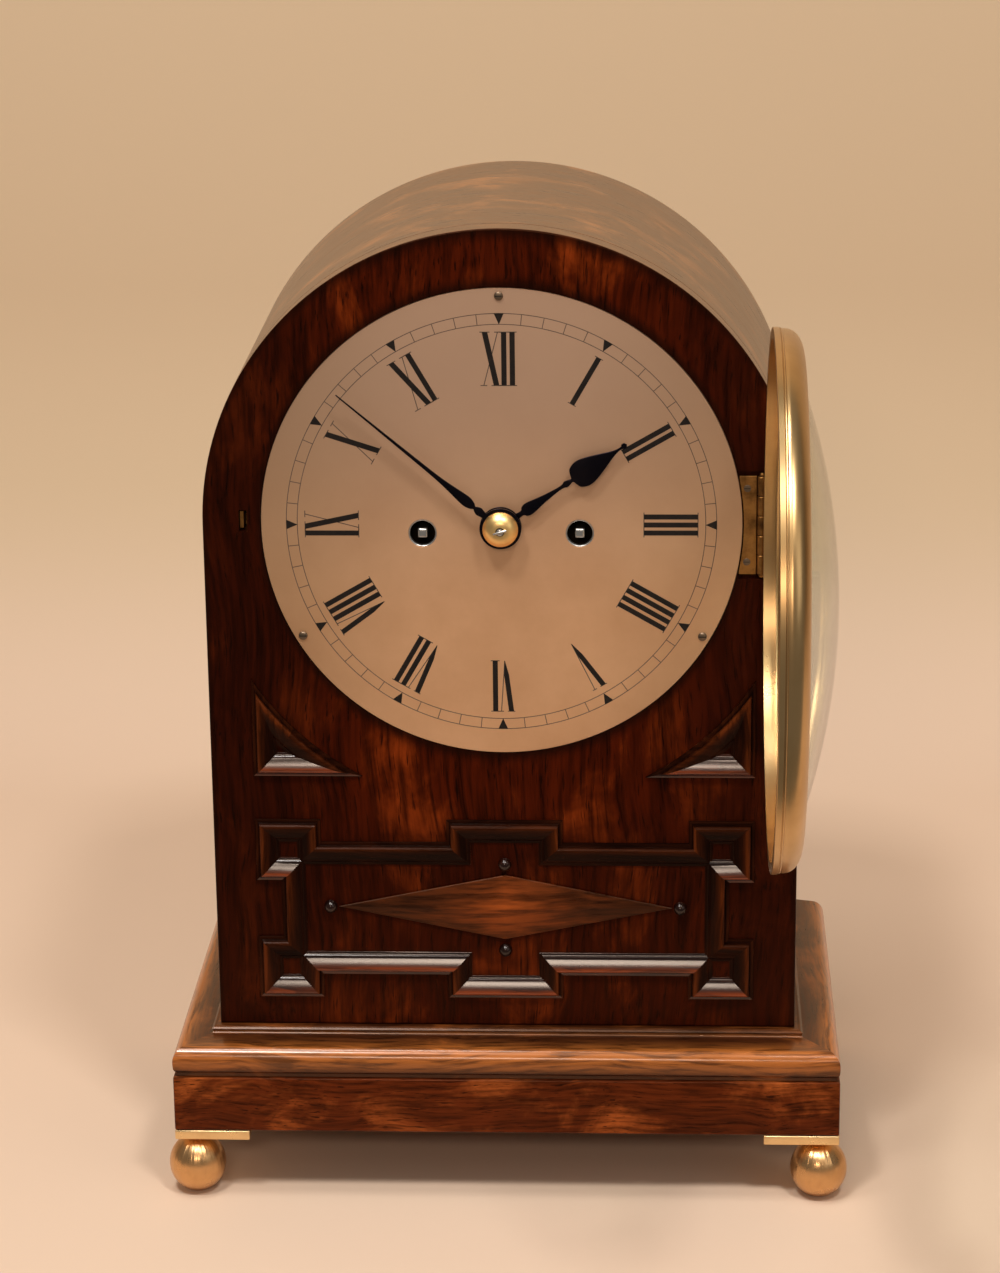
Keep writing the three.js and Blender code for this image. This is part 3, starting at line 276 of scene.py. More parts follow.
faces += [(3, 2, 1, 0), tuple(len(vertices) - 4 + k for k in range(4))]
ways += [0, 0]
mesh = outward(shell("moulded_base", vertices, faces))
wear = [lightened for inside, up, lightened in section for corner in range(4)]
mark(mesh, "wear", wear)
mark(mesh, "polish", [0.25 + 0.5 * lightened for lightened in wear])
finish_piece("moulded_base", mesh, base_woods, "base_moulding", sharp=24, face_materials=ways)


# ---- feet ---------------------------------------------------------------------------------------
# Brass plates are fixed under the base's corners, and a turned brass ball, brushed from top to
# bottom, is fixed under each. Both have gone a little brown.

# the group for every metal: stain and dullness in patches, and fine lines along the mesh's UV where the
# metal is brushed
metal_skin, given, result = group(
    "metal_skin", {"Place": "Vector", "Brush": "Vector", "Colour": "Color", "Stain": "Color",
                   "Patches": "Float", "Tarnish": "Float", "Smooth": "Float", "Dull": "Float"},
    {"Colour": "Color", "Roughness": "Float", "Height": "Float"})
blotch = noise(metal_skin, given["Place"], given["Patches"], 5.0, 0.65)
stained = ramp(metal_skin, blotch, 0.45, 0.75, 0.0, given["Tarnish"])
fill(result, {"Colour": mix(metal_skin, stained, given["Colour"], given["Stain"]),
              "Roughness": ramp(metal_skin, blotch, 0.3, 0.7, given["Smooth"], given["Dull"]),
              "Height": noise(metal_skin, given["Brush"], 1.0, 3.0)})


def metal(name, colour, stain, rough, tarnish=0.3, patches=70.0, uneven=(0.8, 1.35), brush=None):
    """brush is the lines round or along, the lines across, their strength and their depth in metres."""
    made, tree, shader = blank(name)
    place = node(tree, "ShaderNodeTexCoord", {}, name="place").outputs
    skin = node(tree, "ShaderNodeGroup", {"Place": place["Object"], "Colour": colour, "Stain": stain,
                                          "Patches": patches, "Tarnish": tarnish, "Smooth": rough * uneven[0],
                                          "Dull": rough * uneven[1]}, node_tree=metal_skin, name="skin")
    fill(shader, {"Base Color": skin.outputs["Colour"], "Roughness": skin.outputs["Roughness"],
                  "Metallic": 1.0})
    if brush:
        along, over, strength, depth = brush
        fill(skin, {"Brush": node(tree, "ShaderNodeMapping", {"Vector": place["UV"],
                                                              "Scale": (along, over, 1)}).outputs[0]})
        fill(shader, {"Normal": bump(tree, skin.outputs["Height"], strength, depth)})
    return made


def turn(name, profile, steps, place):
    """A mesh turned about Y from (radius, y) in mm, which place takes to where it is."""
    vertices, faces, uvs = [], [], []
    for r, y in profile:
        for i in range(steps):
            a = 2 * math.pi * i / steps
            vertices.append(place(Vector((r * math.cos(a), y, r * math.sin(a))) * MM))
    for j in range(len(profile) - 1):
        for i in range(steps):
            k = (i + 1) % steps
            faces.append((j * steps + i, j * steps + k, (j + 1) * steps + k, (j + 1) * steps + i))
            start, end, near, far = i / steps, (i + 1) / steps, j / len(profile), (j + 1) / len(profile)
            uvs += [start, near, end, near, end, far, start, far]
    mesh = shell(name, vertices, faces)
    mesh.uv_layers.new(name="lathe").data.foreach_set("uv", uvs)
    return outward(mesh, 1e-7, 1e-8)


def turned(name, profile, steps, place, material, replaces=None, body="case", sharp=35):
    finish_piece(name, turn(name, profile, steps, place), [material], replaces, body, sharp)


ball_brass = metal("ball_brass", (0.68, 0.40, 0.18), (0.42, 0.21, 0.08), 0.30, 0.4,
                   brush=(34, 0.5, 1.0, 0.0005))
plate_brass = metal("plate_brass", (0.86, 0.62, 0.32), (0.58, 0.36, 0.16), 0.30, 0.4,
                    brush=(5, 60, 0.04, 0.0001))
# a short neck under the plate, and the ball from 20 to 172 degrees round
ball = [(0, 0), (3.9, 0), (4.2, 0.3), (4.2, 1.4)]
ball += [(12.46 * math.sin(a), 13.9 - 13.19 * math.cos(a))
         for a in [math.radians(20 + (172 - 20) * i / 32) for i in range(33)]] + [(0, 27.09)]
for corner in ("front_left", "front_right", "back_left", "back_right"):
    mesh = slab(*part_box(f"foot_plate_{corner}"), 0.0005)
    layer = mesh.uv_layers.new(name="brush")
    for loop in mesh.loops:
        co = mesh.vertices[loop.vertex_index].co
        layer.data[loop.index].uv = (co.x * 8, co.z * 30 + co.y * 8)
    finish_piece(f"corner_plate_{corner}", mesh, [plate_brass], f"foot_plate_{corner}")
    low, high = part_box(f"ball_foot_{corner}")
    top = Vector(((low.x + high.x) / 2, (low.y + high.y) / 2, high.z))
    turned(f"ball_{corner}", ball, 64, lambda v: top + Vector((v.x, -v.z, -v.y)), ball_brass,
           f"ball_foot_{corner}")


# ---- case ---------------------------------------------------------------------------------------
# A veneered front board with a round opening, two sides, and a bent top in a browner veneer. Boards
# are filled outlines with eased edges, cut for the bezel, its hinge and catch, and the door's hinge.
HALF, FOOT, DEEP, BOARD = 126.5, -228.5, 161.0, 12      # mm: half width, foot, depth, front board
CUT_EASE = 0.00002      # metres: what cuts is all but sharp


def plain_mesh(holder, *helpers):
    """An object's evaluated mesh. The object and its helpers are then gone, with their modifiers."""
    bpy.context.view_layer.update()
    mesh = bpy.data.meshes.new_from_object(holder.evaluated_get(bpy.context.evaluated_depsgraph_get()))
    for spent in (holder, *helpers):
        bpy.data.objects.remove(spent)
    return mesh


def sheet(name, loops, front, thick, ease):
    """A board in the dial's plane: loops of (x, z) from the dial's centre, front and thickness, in mm."""
    curve = bpy.data.curves.new(name, "CURVE")
    curve.dimensions, curve.fill_mode = "2D", "BOTH"
    curve.extrude = (thick / 2 - ease) * MM
    curve.bevel_depth, curve.bevel_resolution = ease * MM, 2
    curve.offset = -ease * MM
    for points in loops:
        spline = curve.splines.new("POLY")
        spline.points.add(len(points) - 1)
        for point, (x, z) in zip(spline.points, points):
            point.co = (x * MM, z * MM, 0, 1)
        spline.use_cyclic_u = True
    mesh = plain_mesh(placed(name, curve))
    middle = front + thick / 2
    for vertex in mesh.vertices:
        x, z, y = vertex.co
        vertex.co = CENTRE + Vector((x, middle * MM - y, z))
    return outward(mesh, 2e-6)


def cut(mesh, *tools):
    holder = placed("cut", mesh)
    knives = [placed("knife", tool) for tool in tools]
    for knife in knives:
        step = holder.modifiers.new("cut", "BOOLEAN")
        step.operation, step.solver, step.object = "DIFFERENCE", "EXACT", knife
    return plain_mesh(holder, *knives)


def arc(radius, start, end, steps):
    angles = [math.radians(start + (end - start) * i / steps) for i in range(steps + 1)]
    return [(radius * math.cos(a), radius * math.sin(a)) for a in angles]


def ring(x, z, radius, steps):
    return [(x + px, z + pz) for px, pz in arc(radius, 0, 360, steps)[:-1]]


def brick(low, high, origin=CENTRE):
    """A sharp block between two corners, in mm from the dial's centre or another place."""
    return slab(origin + Vector(low) * MM, origin + Vector(high) * MM, CUT_EASE, 1)


def spandrel(side, inside):
    """The three-cornered outline at the dial's foot, two straight sides and an arc, drawn in."""
    corner, foot, radius = 108 - inside, -112.3 + inside, 127.8 + inside
    start = math.degrees(math.atan2(-math.sqrt(radius ** 2 - corner ** 2), corner))
    end = math.degrees(math.atan2(foot, math.sqrt(radius ** 2 - foot ** 2)))
    points = [(corner, foot), *arc(radius, start, end, 16)]
    return points if side > 0 else [(-x, z) for x, z in reversed(points)]


def wrap_round_arch(mesh):
    """UV for a veneer that is bent round the arch: metres round it, and metres back."""
    layer = mesh.uv_layers.new(name="round_the_arch")
    for loop in mesh.loops:
        x, y, z = mesh.vertices[loop.vertex_index].co
        layer.data[loop.index].uv = (HALF * MM * math.atan2(z - CENTRE.z, x), y)


case_tones = ((0.0040, 0.0007, 0.0003), (0.056, 0.0056, 0.0007), (0.205, 0.029, 0.0038))
case_wood = wood("case_wood", case_tones, pores=0.9, specular=0.15)
side_wood = wood("side_wood", case_tones, pores=0.6, specular=0.15, offset=(0.31, 0.2, 0.1))
arch_wood = wood("arch_wood", ((0.030, 0.010, 0.0030), (0.135, 0.053, 0.016), (0.34, 0.122, 0.032)), "uv",
                 figure=0.9, pores=0.3, specular=0.5, scale=1.3, tint=(1.0, 0.8, 0.65), coat=0.4)

# painted shade darkens the front board at the sides, round the dial and along the arch's edge, and fades
# the veneer's figure towards the sides; the board is also darker down at the frieze
tree, skin = case_wood.node_tree, case_wood.node_tree.nodes["skin"]
apart = node(tree, "ShaderNodeSeparateXYZ", {0: tree.nodes["place"].outputs["Object"]}).outputs
raised = maths(tree, "SUBTRACT", apart["Z"], CENTRE.z)
upper = maths(tree, "MAXIMUM", raised, 0.0)
aside = maths(tree, "ABSOLUTE", apart["X"])
fill(skin, {"Figure": ramp(tree, aside, 0.03, 0.10, 1.25, 0.55, "SMOOTHSTEP")})
shares = [ramp(tree, aside, 0.045, 0.112, 0.0, 0.62, "SMOOTHSTEP"),
          ramp(tree, raised, -0.118, -0.150, 0.0, 0.42, "SMOOTHSTEP")]
for height, start, end in ((raised, 0.108, 0.102), (upper, 0.1195, 0.1262)):
    flat = node(tree, "ShaderNodeCombineXYZ", {0: apart["X"], 2: height}).outputs[0]
    reach = node(tree, "ShaderNodeVectorMath", {0: flat}, operation="LENGTH").outputs["Value"]
    shares.append(ramp(tree, reach, start, end, 0.0, 0.85, "SMOOTHSTEP"))
darkest = shares[0]
for share in shares[1:]:
    darkest = maths(tree, "MAXIMUM", darkest, share)
fill(tree.nodes["Principled BSDF"], {"Base Color": mix(tree, darkest, skin.outputs["Colour"],
                                                       (0.0055, 0.0014, 0.0008))})

outline = [(-HALF, FOOT), (HALF, FOOT), *arc(HALF, 0, 180, 96)]
front = sheet("front", [outline, ring(0, 0, 93.6, 96)], 0, BOARD, 0.7)
front = cut(front, sheet("recess", [ring(0, 0, 101.9, 128)], -3, 5.7, 0.01),
            brick((99.9, -1, -23.55), (111.8, 1.5, 23.55)), brick((107.4, -1, -23.55), (111.8, 2.5, 23.55)),
            brick((-111, -1, -3.1), (-107.4, 13, 6.3)),
            sheet("left_hollow", [spandrel(-1, 10.4)], -1, 1.8, 0.01),
            sheet("right_hollow", [spandrel(1, 10.4)], -1, 1.8, 0.01))
wrap_round_arch(front)
rim_faces = [1 if abs(p.normal.y) < 0.6 and p.center.z > CENTRE.z and (p.center - CENTRE).length > 0.12 else 0
             for p in front.polygons]
finish_piece("case_front", front, [case_wood, arch_wood], "front_board", sharp=8,
             face_materials=rim_faces)
left, right = (slab(*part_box(name), 0.0006) for name in ("left_side", "right_side"))
right = cut(right, brick((114.5, 144.0, -107.0), (121, 148.2, -90.5)))
finish_piece("case_side_left", left, [side_wood], "left_side")
finish_piece("case_side_right", right, [side_wood], "right_side")
arch_start = BOARD + 0.05
arch_mesh = sheet("arch", [[*arc(HALF, 0, 180, 128), *arc(HALF - 10, 180, 0, 128)]], arch_start,
                  DEEP - arch_start, 0.05)
wrap_round_arch(arch_mesh)
finish_piece("case_arch", arch_mesh, [arch_wood], "arched_top", sharp=8)


# ---- mouldings on the front ---------------------------------------------------------------------
# Nearly black mouldings are glued on the front, and a lozenge with four turned bosses in the frieze.
# One section follows every outline: a low step, a quirk, a ridge, a long slope and a small cove.
FIELD = -0.3      # mm: the plane just ahead of the board that heights are measured from


def inset(points, inside):
    """An outline drawn in by a distance, so that every mitre is true."""
    out = []
    for i, here in enumerate(points):
        before, after = Vector(points[i - 1]), Vector(points[(i + 1) % len(points)])
        a, b = (Vector(here) - before).normalized(), (after - Vector(here)).normalized()
        out.append(Vector(here) + Vector((-a.y - b.y, a.x + b.x)) / (1 + a.dot(b)) * inside)
    return out


class Moulding:
    """Runs of one section, lightened along its ridge, whose polish and painted light depend on which way a
    run looks.
    """

    def __init__(self):
        self.vertices, self.faces, self.ways = [], [], []
        self.corners, self.wear, self.polish = [], [], []

    def run(self, loop_at, section):
        start, outer = len(self.vertices), [Vector(point) for point in loop_at(0)]
        count = len(outer)
        runs = [(outer[(i + 1) % count] - outer[i]).normalized() for i in range(count)]
        for inside, proud, lightened in section:
            self.vertices += [CENTRE + Vector((x, FIELD - proud, z)) * MM for x, z in loop_at(inside)]
            self.corners += [start + i if runs[i].dot(runs[i - 1]) < 0.94 else -1 for i in range(count)]
        for i in range(count):
            n = (i + 1) % count
            lower = runs[i].x > 0.7      # the runs along the foot are polished most, and their lightening is strongest: painted light where they face up
            light_on_run = 1.0 if lower else 0.35 if runs[i].x > -0.7 else 0.12
            for j in range(len(section) - 1):
                a, b = start + j * count, start + (j + 1) * count
                self.faces.append((a + i, a + n, b + n, b + i))
                self.ways.append(1 if abs(runs[i].y) > abs(runs[i].x) else 0)
                self.wear += [section[j][2] * light_on_run] * 2 + [section[j + 1][2] * light_on_run] * 2
                self.polish += [1.0 if lower else 0.06] * 4

    def piece(self, name, replaced):
        mesh = shell(name, self.vertices, self.faces)
        mark(mesh, "wear", self.wear, "CORNER")
        mark(mesh, "polish", self.polish, "CORNER")
        finish_piece(name, mesh, trim_woods, replaced, sharp=40, face_materials=self.ways)
        for edge in mesh.edges:
            first, second = (self.corners[k] for k in edge.vertices)
            if first == second >= 0:
                edge.use_edge_sharp = True


trim_tones = ((0.0028, 0.0007, 0.0003), (0.009, 0.0019, 0.0007), (0.036, 0.007, 0.0015))
trim_woods = [wood(name, trim_tones, grain, figure=0.6, specular=0.05, tint=(1.0, 0.5, 0.3), polish=0.8,
                   worn=(0.24, 0.050, 0.010)) for name, grain in (("trim_wood", "x"), ("trim_wood_up", "z"))]
# each point is the distance inside the outline, the height off that plane, and how far its colour is
# lightened
outer_part = [(0, -0.28, 0), (0, 0.7, 0.1), (0.1, 0.88, 0.2), (0.35, 0.96, 0.3), (1.1, 1.0, 0.2),
              (1.5, 1.03, 0), (1.62, 1.2, 0), (1.75, 1.8, 0.1), (1.9, 2.3, 0.4), (2.1, 2.68, 0.8),
              (2.4, 2.95, 1), (2.75, 3.1, 1), (3.1, 3.17, 1), (3.45, 3.16, 0.9), (3.75, 3.08, 0.7),
              (4.2, 2.93, 0.45), (5.0, 2.64, 0.2), (5.8, 2.31, 0.1), (6.6, 1.955, 0.05), (7.4, 1.58, 0),
              (8.2, 1.19, 0), (8.45, 1.14, 0), (8.72, 1.12, 0.1)]
inner_part = [(8.72, 1.12, 0.1), (8.8, 1.0, 0), (9.1, 0.74, 0), (9.5, 0.54, 0), (10.0, 0.42, 0),
              (10.4, 0.38, 0.1), (10.5, 0.3, 0.1), (10.5, -0.28, 0)]
# the right half of the frieze's outline, with an ear at each corner
right_half = [(25.2, -215.4), (25.2, -204.4), (79.8, -204.4), (79.8, -215.4), (108.2, -215.4),
              (108.2, -186.9), (97.3, -186.9), (97.3, -160.4), (108.2, -160.4), (108.2, -132.3),
              (79.8, -132.3), (79.8, -142.6), (25.2, -142.6), (25.2, -132.3)]
# inside the ears the runs close up, so the cove goes round each ear's field and round the middle's
middle_half = [(25.2, -215.4), (25.2, -204.4), (97.3, -204.4), (97.3, -142.6), (25.2, -142.6),
               (25.2, -132.3)]
frieze = Moulding()
for points, part in ((right_half, outer_part), (middle_half, inner_part)):
    whole = points + [(-x, z) for x, z in reversed(points)]
    frieze.run(lambda inside: inset(whole, inside), part)
for foot, head in ((-215.4, -186.9), (-160.4, -132.3)):
    for near, far in ((79.8, 108.2), (-108.2, -79.8)):
        ear = [(near, foot), (far, foot), (far, head), (near, head)]
        frieze.run(lambda inside: inset(ear, inside), inner_part)
frieze.piece("frieze_frame", "frieze_moulding")
for name, side in (("left", -1), ("right", 1)):
    corner_piece = Moulding()
    corner_piece.run(lambda inside: spandrel(side, inside), outer_part + inner_part[1:])
    corner_piece.piece(f"spandrel_frame_{name}", f"spandrel_{name}")

lozenge_tones = ((0.008, 0.0024, 0.001), (0.034, 0.009, 0.003), (0.15, 0.030, 0.006))
lozenge_wood = wood("lozenge_wood", lozenge_tones, "x", specular=0.22, tint=(1.0, 0.6, 0.4),
                    scale=1.3, offset=(0.02, 0.0, 0.03), worn=(0.32, 0.066, 0.011))
lozenge_at = CENTRE + Vector((0, FIELD, -172.6)) * MM
steps = [(1.0, 0), (1.0, -0.7), (0.985, -0.95), (0.95, -1.05), (0.75, -1.6), (0.5, -2.35), (0.25, -3.0),
         (0.06, -3.5), (0, -3.6)]      # share of its size, and mm off the board, up to a blunt point
corners = [(-72.6, 0), (0, -14.9), (72.6, 0), (0, 14.9)]
vertices = [lozenge_at + Vector((x * s, y, z * s)) * MM for s, y in steps for x, z in corners]
faces = [(j * 4 + i, j * 4 + (i + 1) % 4, j * 4 + 4 + (i + 1) % 4, j * 4 + 4 + i)
         for j in range(len(steps) - 1) for i in range(4)] + [(0, 1, 2, 3)]
mesh = outward(shell("lozenge_panel", vertices, faces))
mark(mesh, "wear", [max(0, 1 - s * abs(x) / 28 - s * abs(z) / 20) for s, y in steps for x, z in corners])
finish_piece("lozenge_panel", mesh, [lozenge_wood], "lozenge", sharp=12)

boss = [(0, -3.6), (0.8, -3.55), (1.6, -3.2), (2.3, -2.55), (2.75, -1.9), (2.9, -1.4), (2.7, -1.15),
        (2.3, -1.0), (2.3, -0.8), (2.75, -0.65), (2.9, -0.35), (2.9, 0), (0, 0)]
for name, x, z in (("left", -76.2, 0), ("right", 76.2, 0), ("top", 0, 20), ("bottom", 0, -20)):
    spot = lozenge_at + Vector((x, 0, z)) * MM
    mesh = turn(name, boss, 32, lambda v: spot + v)
    mark(mesh, "polish", [0.8] * len(mesh.vertices))
    finish_piece(f"turned_boss_{name}", mesh, trim_woods[:1], f"boss_{name}")


# ---- dial ---------------------------------------------------------------------------------------
# A brass plate, silvered and finely grained, warm with age, held by three screws. It is engraved
# with numerals and a ring of minutes, filled with black wax, and has steel lips in its two holes.
def swing(x, z, bearing):
    """A point of the dial, carried clockwise from twelve o'clock."""
    return (x * math.cos(bearing) + z * math.sin(bearing), z * math.cos(bearing) - x * math.sin(bearing))


silvered, tree, shader = blank("silvered_dial")
place = node(tree, "ShaderNodeTexCoord", {}).outputs["Object"]
clouds = ramp(tree, noise(tree, place, 16.0, 6.0, 0.6), 0.35, 0.70)
mottle_and_painted_light = mix(tree, clouds, (0.92, 0.53, 0.29), (0.75, 0.40, 0.203))
# painted light makes it paler and greyer towards the top, and painted shade makes it darker brown at the
# sides
apart = node(tree, "ShaderNodeSeparateXYZ", {0: place}).outputs
painted_paler_top = ramp(tree, apart["Z"], CENTRE.z - 0.05, CENTRE.z + 0.07, 0.0, 0.85, "SMOOTHSTEP")
painted_darker_sides = ramp(tree, maths(tree, "ABSOLUTE", apart["X"]), 0.02, 0.115, 0.0, 0.5, "SMOOTHSTEP")
mottle_and_painted_light = mix(tree, painted_paler_top, mottle_and_painted_light, (0.57, 0.37, 0.257))
fill(shader, {"Base Color": mix(tree, painted_darker_sides, mottle_and_painted_light, (0.34, 0.20, 0.10)), "Metallic": 0.7, "Roughness": 0.45,
              "Normal": bump(tree, noise(tree, place, 2600.0, 2.0), 0.10, 0.0001)})


def engraving(name, dark, pale):
    made, tree, shader = blank(name)
    worn = noise(tree, node(tree, "ShaderNodeTexCoord", {}).outputs["Object"], 420.0, 3.0)
    fill(shader, {"Base Color": mix(tree, worn, dark, pale), "Roughness": 0.6, "Specular IOR Level": 0.12})
    return made


wax = engraving("engraving_wax", (0.006, 0.005, 0.005), (0.020, 0.014, 0.011))
# hair lines are worn thin, so that the silvering shows through them
hair = engraving("engraving_hairlines", (0.055, 0.036, 0.025), (0.16, 0.11, 0.08))
bright_steel = metal("bright_steel", (0.56, 0.55, 0.53), (0.30, 0.27, 0.24), 0.30, 0.35)
screw_steel = metal("screw_steel", (0.22, 0.16, 0.11), (0.09, 0.06, 0.04), 0.38, 0.7)

HOLE_OUT, HOLE_DOWN, HOLE = 33.2, -3.7, 5.95      # mm: the winding holes' places and radius
screw_spots = {"top": (0, 98.2), "left": (-85.04, -49.1), "right": (85.04, -49.1)}
loops = [ring(0, 0, 101.6, 180), ring(0, 0, 6.2, 40)]
loops += [ring(HOLE_OUT * side, HOLE_DOWN, HOLE, 48) for side in (-1, 1)]
loops += [ring(*spot, 1.44, 16) for spot in screw_spots.values()]
finish_piece("dial", sheet("dial", loops, 0.4, 2, 0.25), [silvered], "dial_plate", sharp=8)

lip = [(HOLE, 0.42), (5.8, 0.38), (5.6, 0.46), (5.4, 0.68), (5.3, 1.0), (5.3, 2.38), (HOLE, 2.38),
       (HOLE, 0.42)]
for name, side, arbor in (("going", 1, "going_fusee"), ("striking", -1, "strike_fusee")):
    spot = CENTRE + Vector((HOLE_OUT * side, 0, HOLE_DOWN)) * MM
    turned(f"winding_hole_lip_{name}", lip, 64, lambda v: spot + v, bright_steel, sharp=50)
    tip = Vector((spot.x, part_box(arbor)[0].y, spot.z))
    square = slab(tip + Vector((-2.05, -0.5, -2.05)) * MM, tip + Vector((2.05, 1.8, 2.05)) * MM, 0.0009, 5)
    finish_piece(f"winding_square_{name}", square, [bright_steel], body=arbor, sharp=60)


def bar(x0, z0, x1, z1, start=0.4, end=0.4):
    """A stroke between two points, with its width at each; a steep one is cut level at its ends."""
    run = Vector((x1 - x0, z1 - z0)).normalized()
    steep = abs(z1 - z0) > abs(x1 - x0)
    side = Vector((1, 0)) / max(abs(run.y), 0.2) if steep else Vector((-run.y, run.x))
    a, b = side * start / 2, side * end / 2
    return [(x0 - a.x, z0 - a.y), (x1 - b.x, z1 - b.y), (x1 + b.x, z1 + b.y), (x0 + a.x, z0 + a.y)]


FEET, HEAD = 60.2, 82.9      # mm from the dial's centre to the numerals' feet and heads
LETTERS = {      # each letter's width, its thick strokes and its thin ones
    "I": (3.5, [(0, FEET, 0, HEAD, 2.2, 2.2)], [(-1.9, FEET, 1.9, FEET), (-1.9, HEAD, 1.9, HEAD)]),
    "V": (6.3, [(-1.9, HEAD, 0.1, 66.5, 2.2, 2.1), (0.1, 66.5, 0.9, FEET, 2.1, 0.3)],
          [(2.4, HEAD, 0.9, FEET + 1), (-3.5, HEAD, -0.3, HEAD), (1.4, HEAD, 3.4, HEAD)]),
    "X": (7.4, [(-2.5, HEAD, 2.3, FEET, 2.3, 2.3)],
          [(2.9, HEAD, -3.0, FEET), (-4.6, HEAD, -0.4, HEAD), (1.5, HEAD, 4.3, HEAD), (0.2, FEET, 4.4, FEET),
           (-4.4, FEET, -1.6, FEET)])}
strokes, hairs = [], []
for hour, numeral in enumerate("XII I II III IIII V VI VII VIII IX X XI".split()):
    x = -sum(LETTERS[letter][0] for letter in numeral) / 2
    for letter in numeral:
        width, thick, thin = LETTERS[letter]
        mid = x + width / 2
        for lines, kept in ((thick, strokes), (thin, hairs)):
            for x0, z0, x1, z1, *widths in lines:
                points = bar(mid + x0, z0, mid + x1, z1, *widths)
                kept.append([swing(px, pz, math.radians(30 * hour)) for px, pz in points])
        x += width


def pads(name, loops, proud, origin):
    """Closed flat pads, one for each loop, standing the least bit proud of the dial."""
    vertices, faces = [], []
    for points in loops:
        start, count = len(vertices), len(points)
        for y in (0.42, 0.4 - proud):
            vertices += [origin + Vector((x, y, z)) * MM for x, z in points]
        faces.append(tuple(start + i for i in range(count)))
        faces.append(tuple(start + count + i for i in reversed(range(count))))
        faces += [(start + i, start + (i + 1) % count, start + count + (i + 1) % count, start + count + i)
                  for i in range(count)]
    return outward(shell(name, vertices, faces))


# this tree sets one hour's minute marks twelve times round the dial, and adds them to the numerals
around_dial, given, result = group(
    "around_dial", {"Numerals": "Geometry", "Marks": "Object", "Hours": "Int", "Step": "Float",
                    "Centre": "Vector", "Material": "Material"}, {"Geometry": "Geometry"}, "GeometryNodeTree")
hours = node(around_dial, "GeometryNodePoints", {"Count": given["Hours"], "Position": given["Centre"]})
index = node(around_dial, "GeometryNodeInputIndex", {}).outputs[0]
bearing = maths(around_dial, "MULTIPLY", index, given["Step"])
euler = node(around_dial, "ShaderNodeCombineXYZ", {"Y": bearing}).outputs[0]
turning = node(around_dial, "FunctionNodeEulerToRotation", {0: euler}).outputs[0]
marks = node(around_dial, "GeometryNodeObjectInfo", {"Object": given["Marks"]}).outputs["Geometry"]
copies = node(around_dial, "GeometryNodeInstanceOnPoints",
              {"Points": hours.outputs[0], "Instance": marks, "Rotation": turning})
whole = node(around_dial, "GeometryNodeJoinGeometry", {0: given["Numerals"]})
fill(whole, {0: copies.outputs[0]})
solid = node(around_dial, "GeometryNodeRealizeInstances", {0: whole.outputs[0]}).outputs[0]
painted = node(around_dial, "GeometryNodeSetMaterial", {"Geometry": solid, "Material": given["Material"]})
fill(result, {0: painted.outputs[0]})


def engrave(name, numerals, marks, material, proud):
    holder = placed(name, pads(name, numerals, proud, CENTRE))
    one_hour = placed("one_hour", pads("one_hour", marks, proud, Vector()))
    step = holder.modifiers.new("around_dial", "NODES")
    step.node_group = around_dial
    values = {"Marks": one_hour, "Hours": 12, "Step": math.radians(30), "Centre": list(CENTRE),
              "Material": material}
    for item in around_dial.interface.items_tree:
        if item.name in values:
            step[item.identifier] = values[item.name]
    finish_piece(name, plain_mesh(holder, one_hour), [])


ticks = [[swing(px, pz, math.radians(6 * minute)) for px, pz in bar(0, 86.3, 0, 90.8, 0.34, 0.34)]
         for minute in range(1, 5)]
engrave("engraved_strokes", strokes, [[(-2.1, 90.9), (0, 86.1), (2.1, 90.9)]], wax, 0.03)
engrave("engraved_hairlines", hairs, ticks, hair, 0.02)
for name, radius in (("outer", 90.8), ("inner", 86.2)):
    band = [(radius - 0.17, 0.42), (radius - 0.17, 0.385), (radius + 0.17, 0.385), (radius + 0.17, 0.42),
            (radius - 0.17, 0.42)]
    turned(f"minute_circle_{name}", band, 180, lambda v: CENTRE + v, hair)
screw = [(0, -0.72), (0.9, -0.69), (1.5, -0.56), (1.8, -0.36), (1.9, -0.12), (1.9, 0), (1.14, 0), (1.14, 2),
         (0, 2)]
for name, (x, z) in screw_spots.items():
    spot = CENTRE + Vector((x, 0.1, z)) * MM
    turned(f"dial_screw_head_{name}", screw, 28, lambda v: spot + v, screw_steel,
           f"dial_screw_{name}")
    finish_piece(f"dial_screw_slot_{name}", brick((-1.6, -0.73, -0.18), (1.6, -0.5, 0.18), spot), [wax])


# ---- bezel --------------------------------------------------------------------------------------
# A cast and turned brass ring, standing open on its hinge: plain flange, fine bead, rounded front. A
# domed glass sits in it behind a sight ring. The hinge has three knuckles on the case's leaf and two
# on the bezel's, on one headed pin, and is browner than the ring.
HINGE = Vector((0.1096, -0.07045, 0))      # hinge pin


def on_bezel(v):
    """From the closed bezel, about the dial's centre, to where it stands open by a right angle."""
    x, y = CENTRE.x + v.x - HINGE.x, CENTRE.y + v.y - HINGE.y
    return Vector((HINGE.x - y, HINGE.y + x, CENTRE.z + v.z))


def on_pin(v):
    return Vector((HINGE.x + v.x, HINGE.y - v.z, CENTRE.z + v.y))


def dome(radius, rise, y, steps):
    sphere = (radius ** 2 + rise ** 2) / (2 * rise)
    return [(radius * i / steps, y - (math.sqrt(sphere ** 2 - (radius * i / steps) ** 2) - (sphere - rise)))
            for i in range(steps + 1)]


smears, given, result = group("smears", {"Place": "Vector"}, {"Roughness": "Float"})
fill(result, {"Roughness": ramp(smears, noise(smears, given["Place"], 22.0, 4.0), 0.4, 0.8, 0.01, 0.07)})


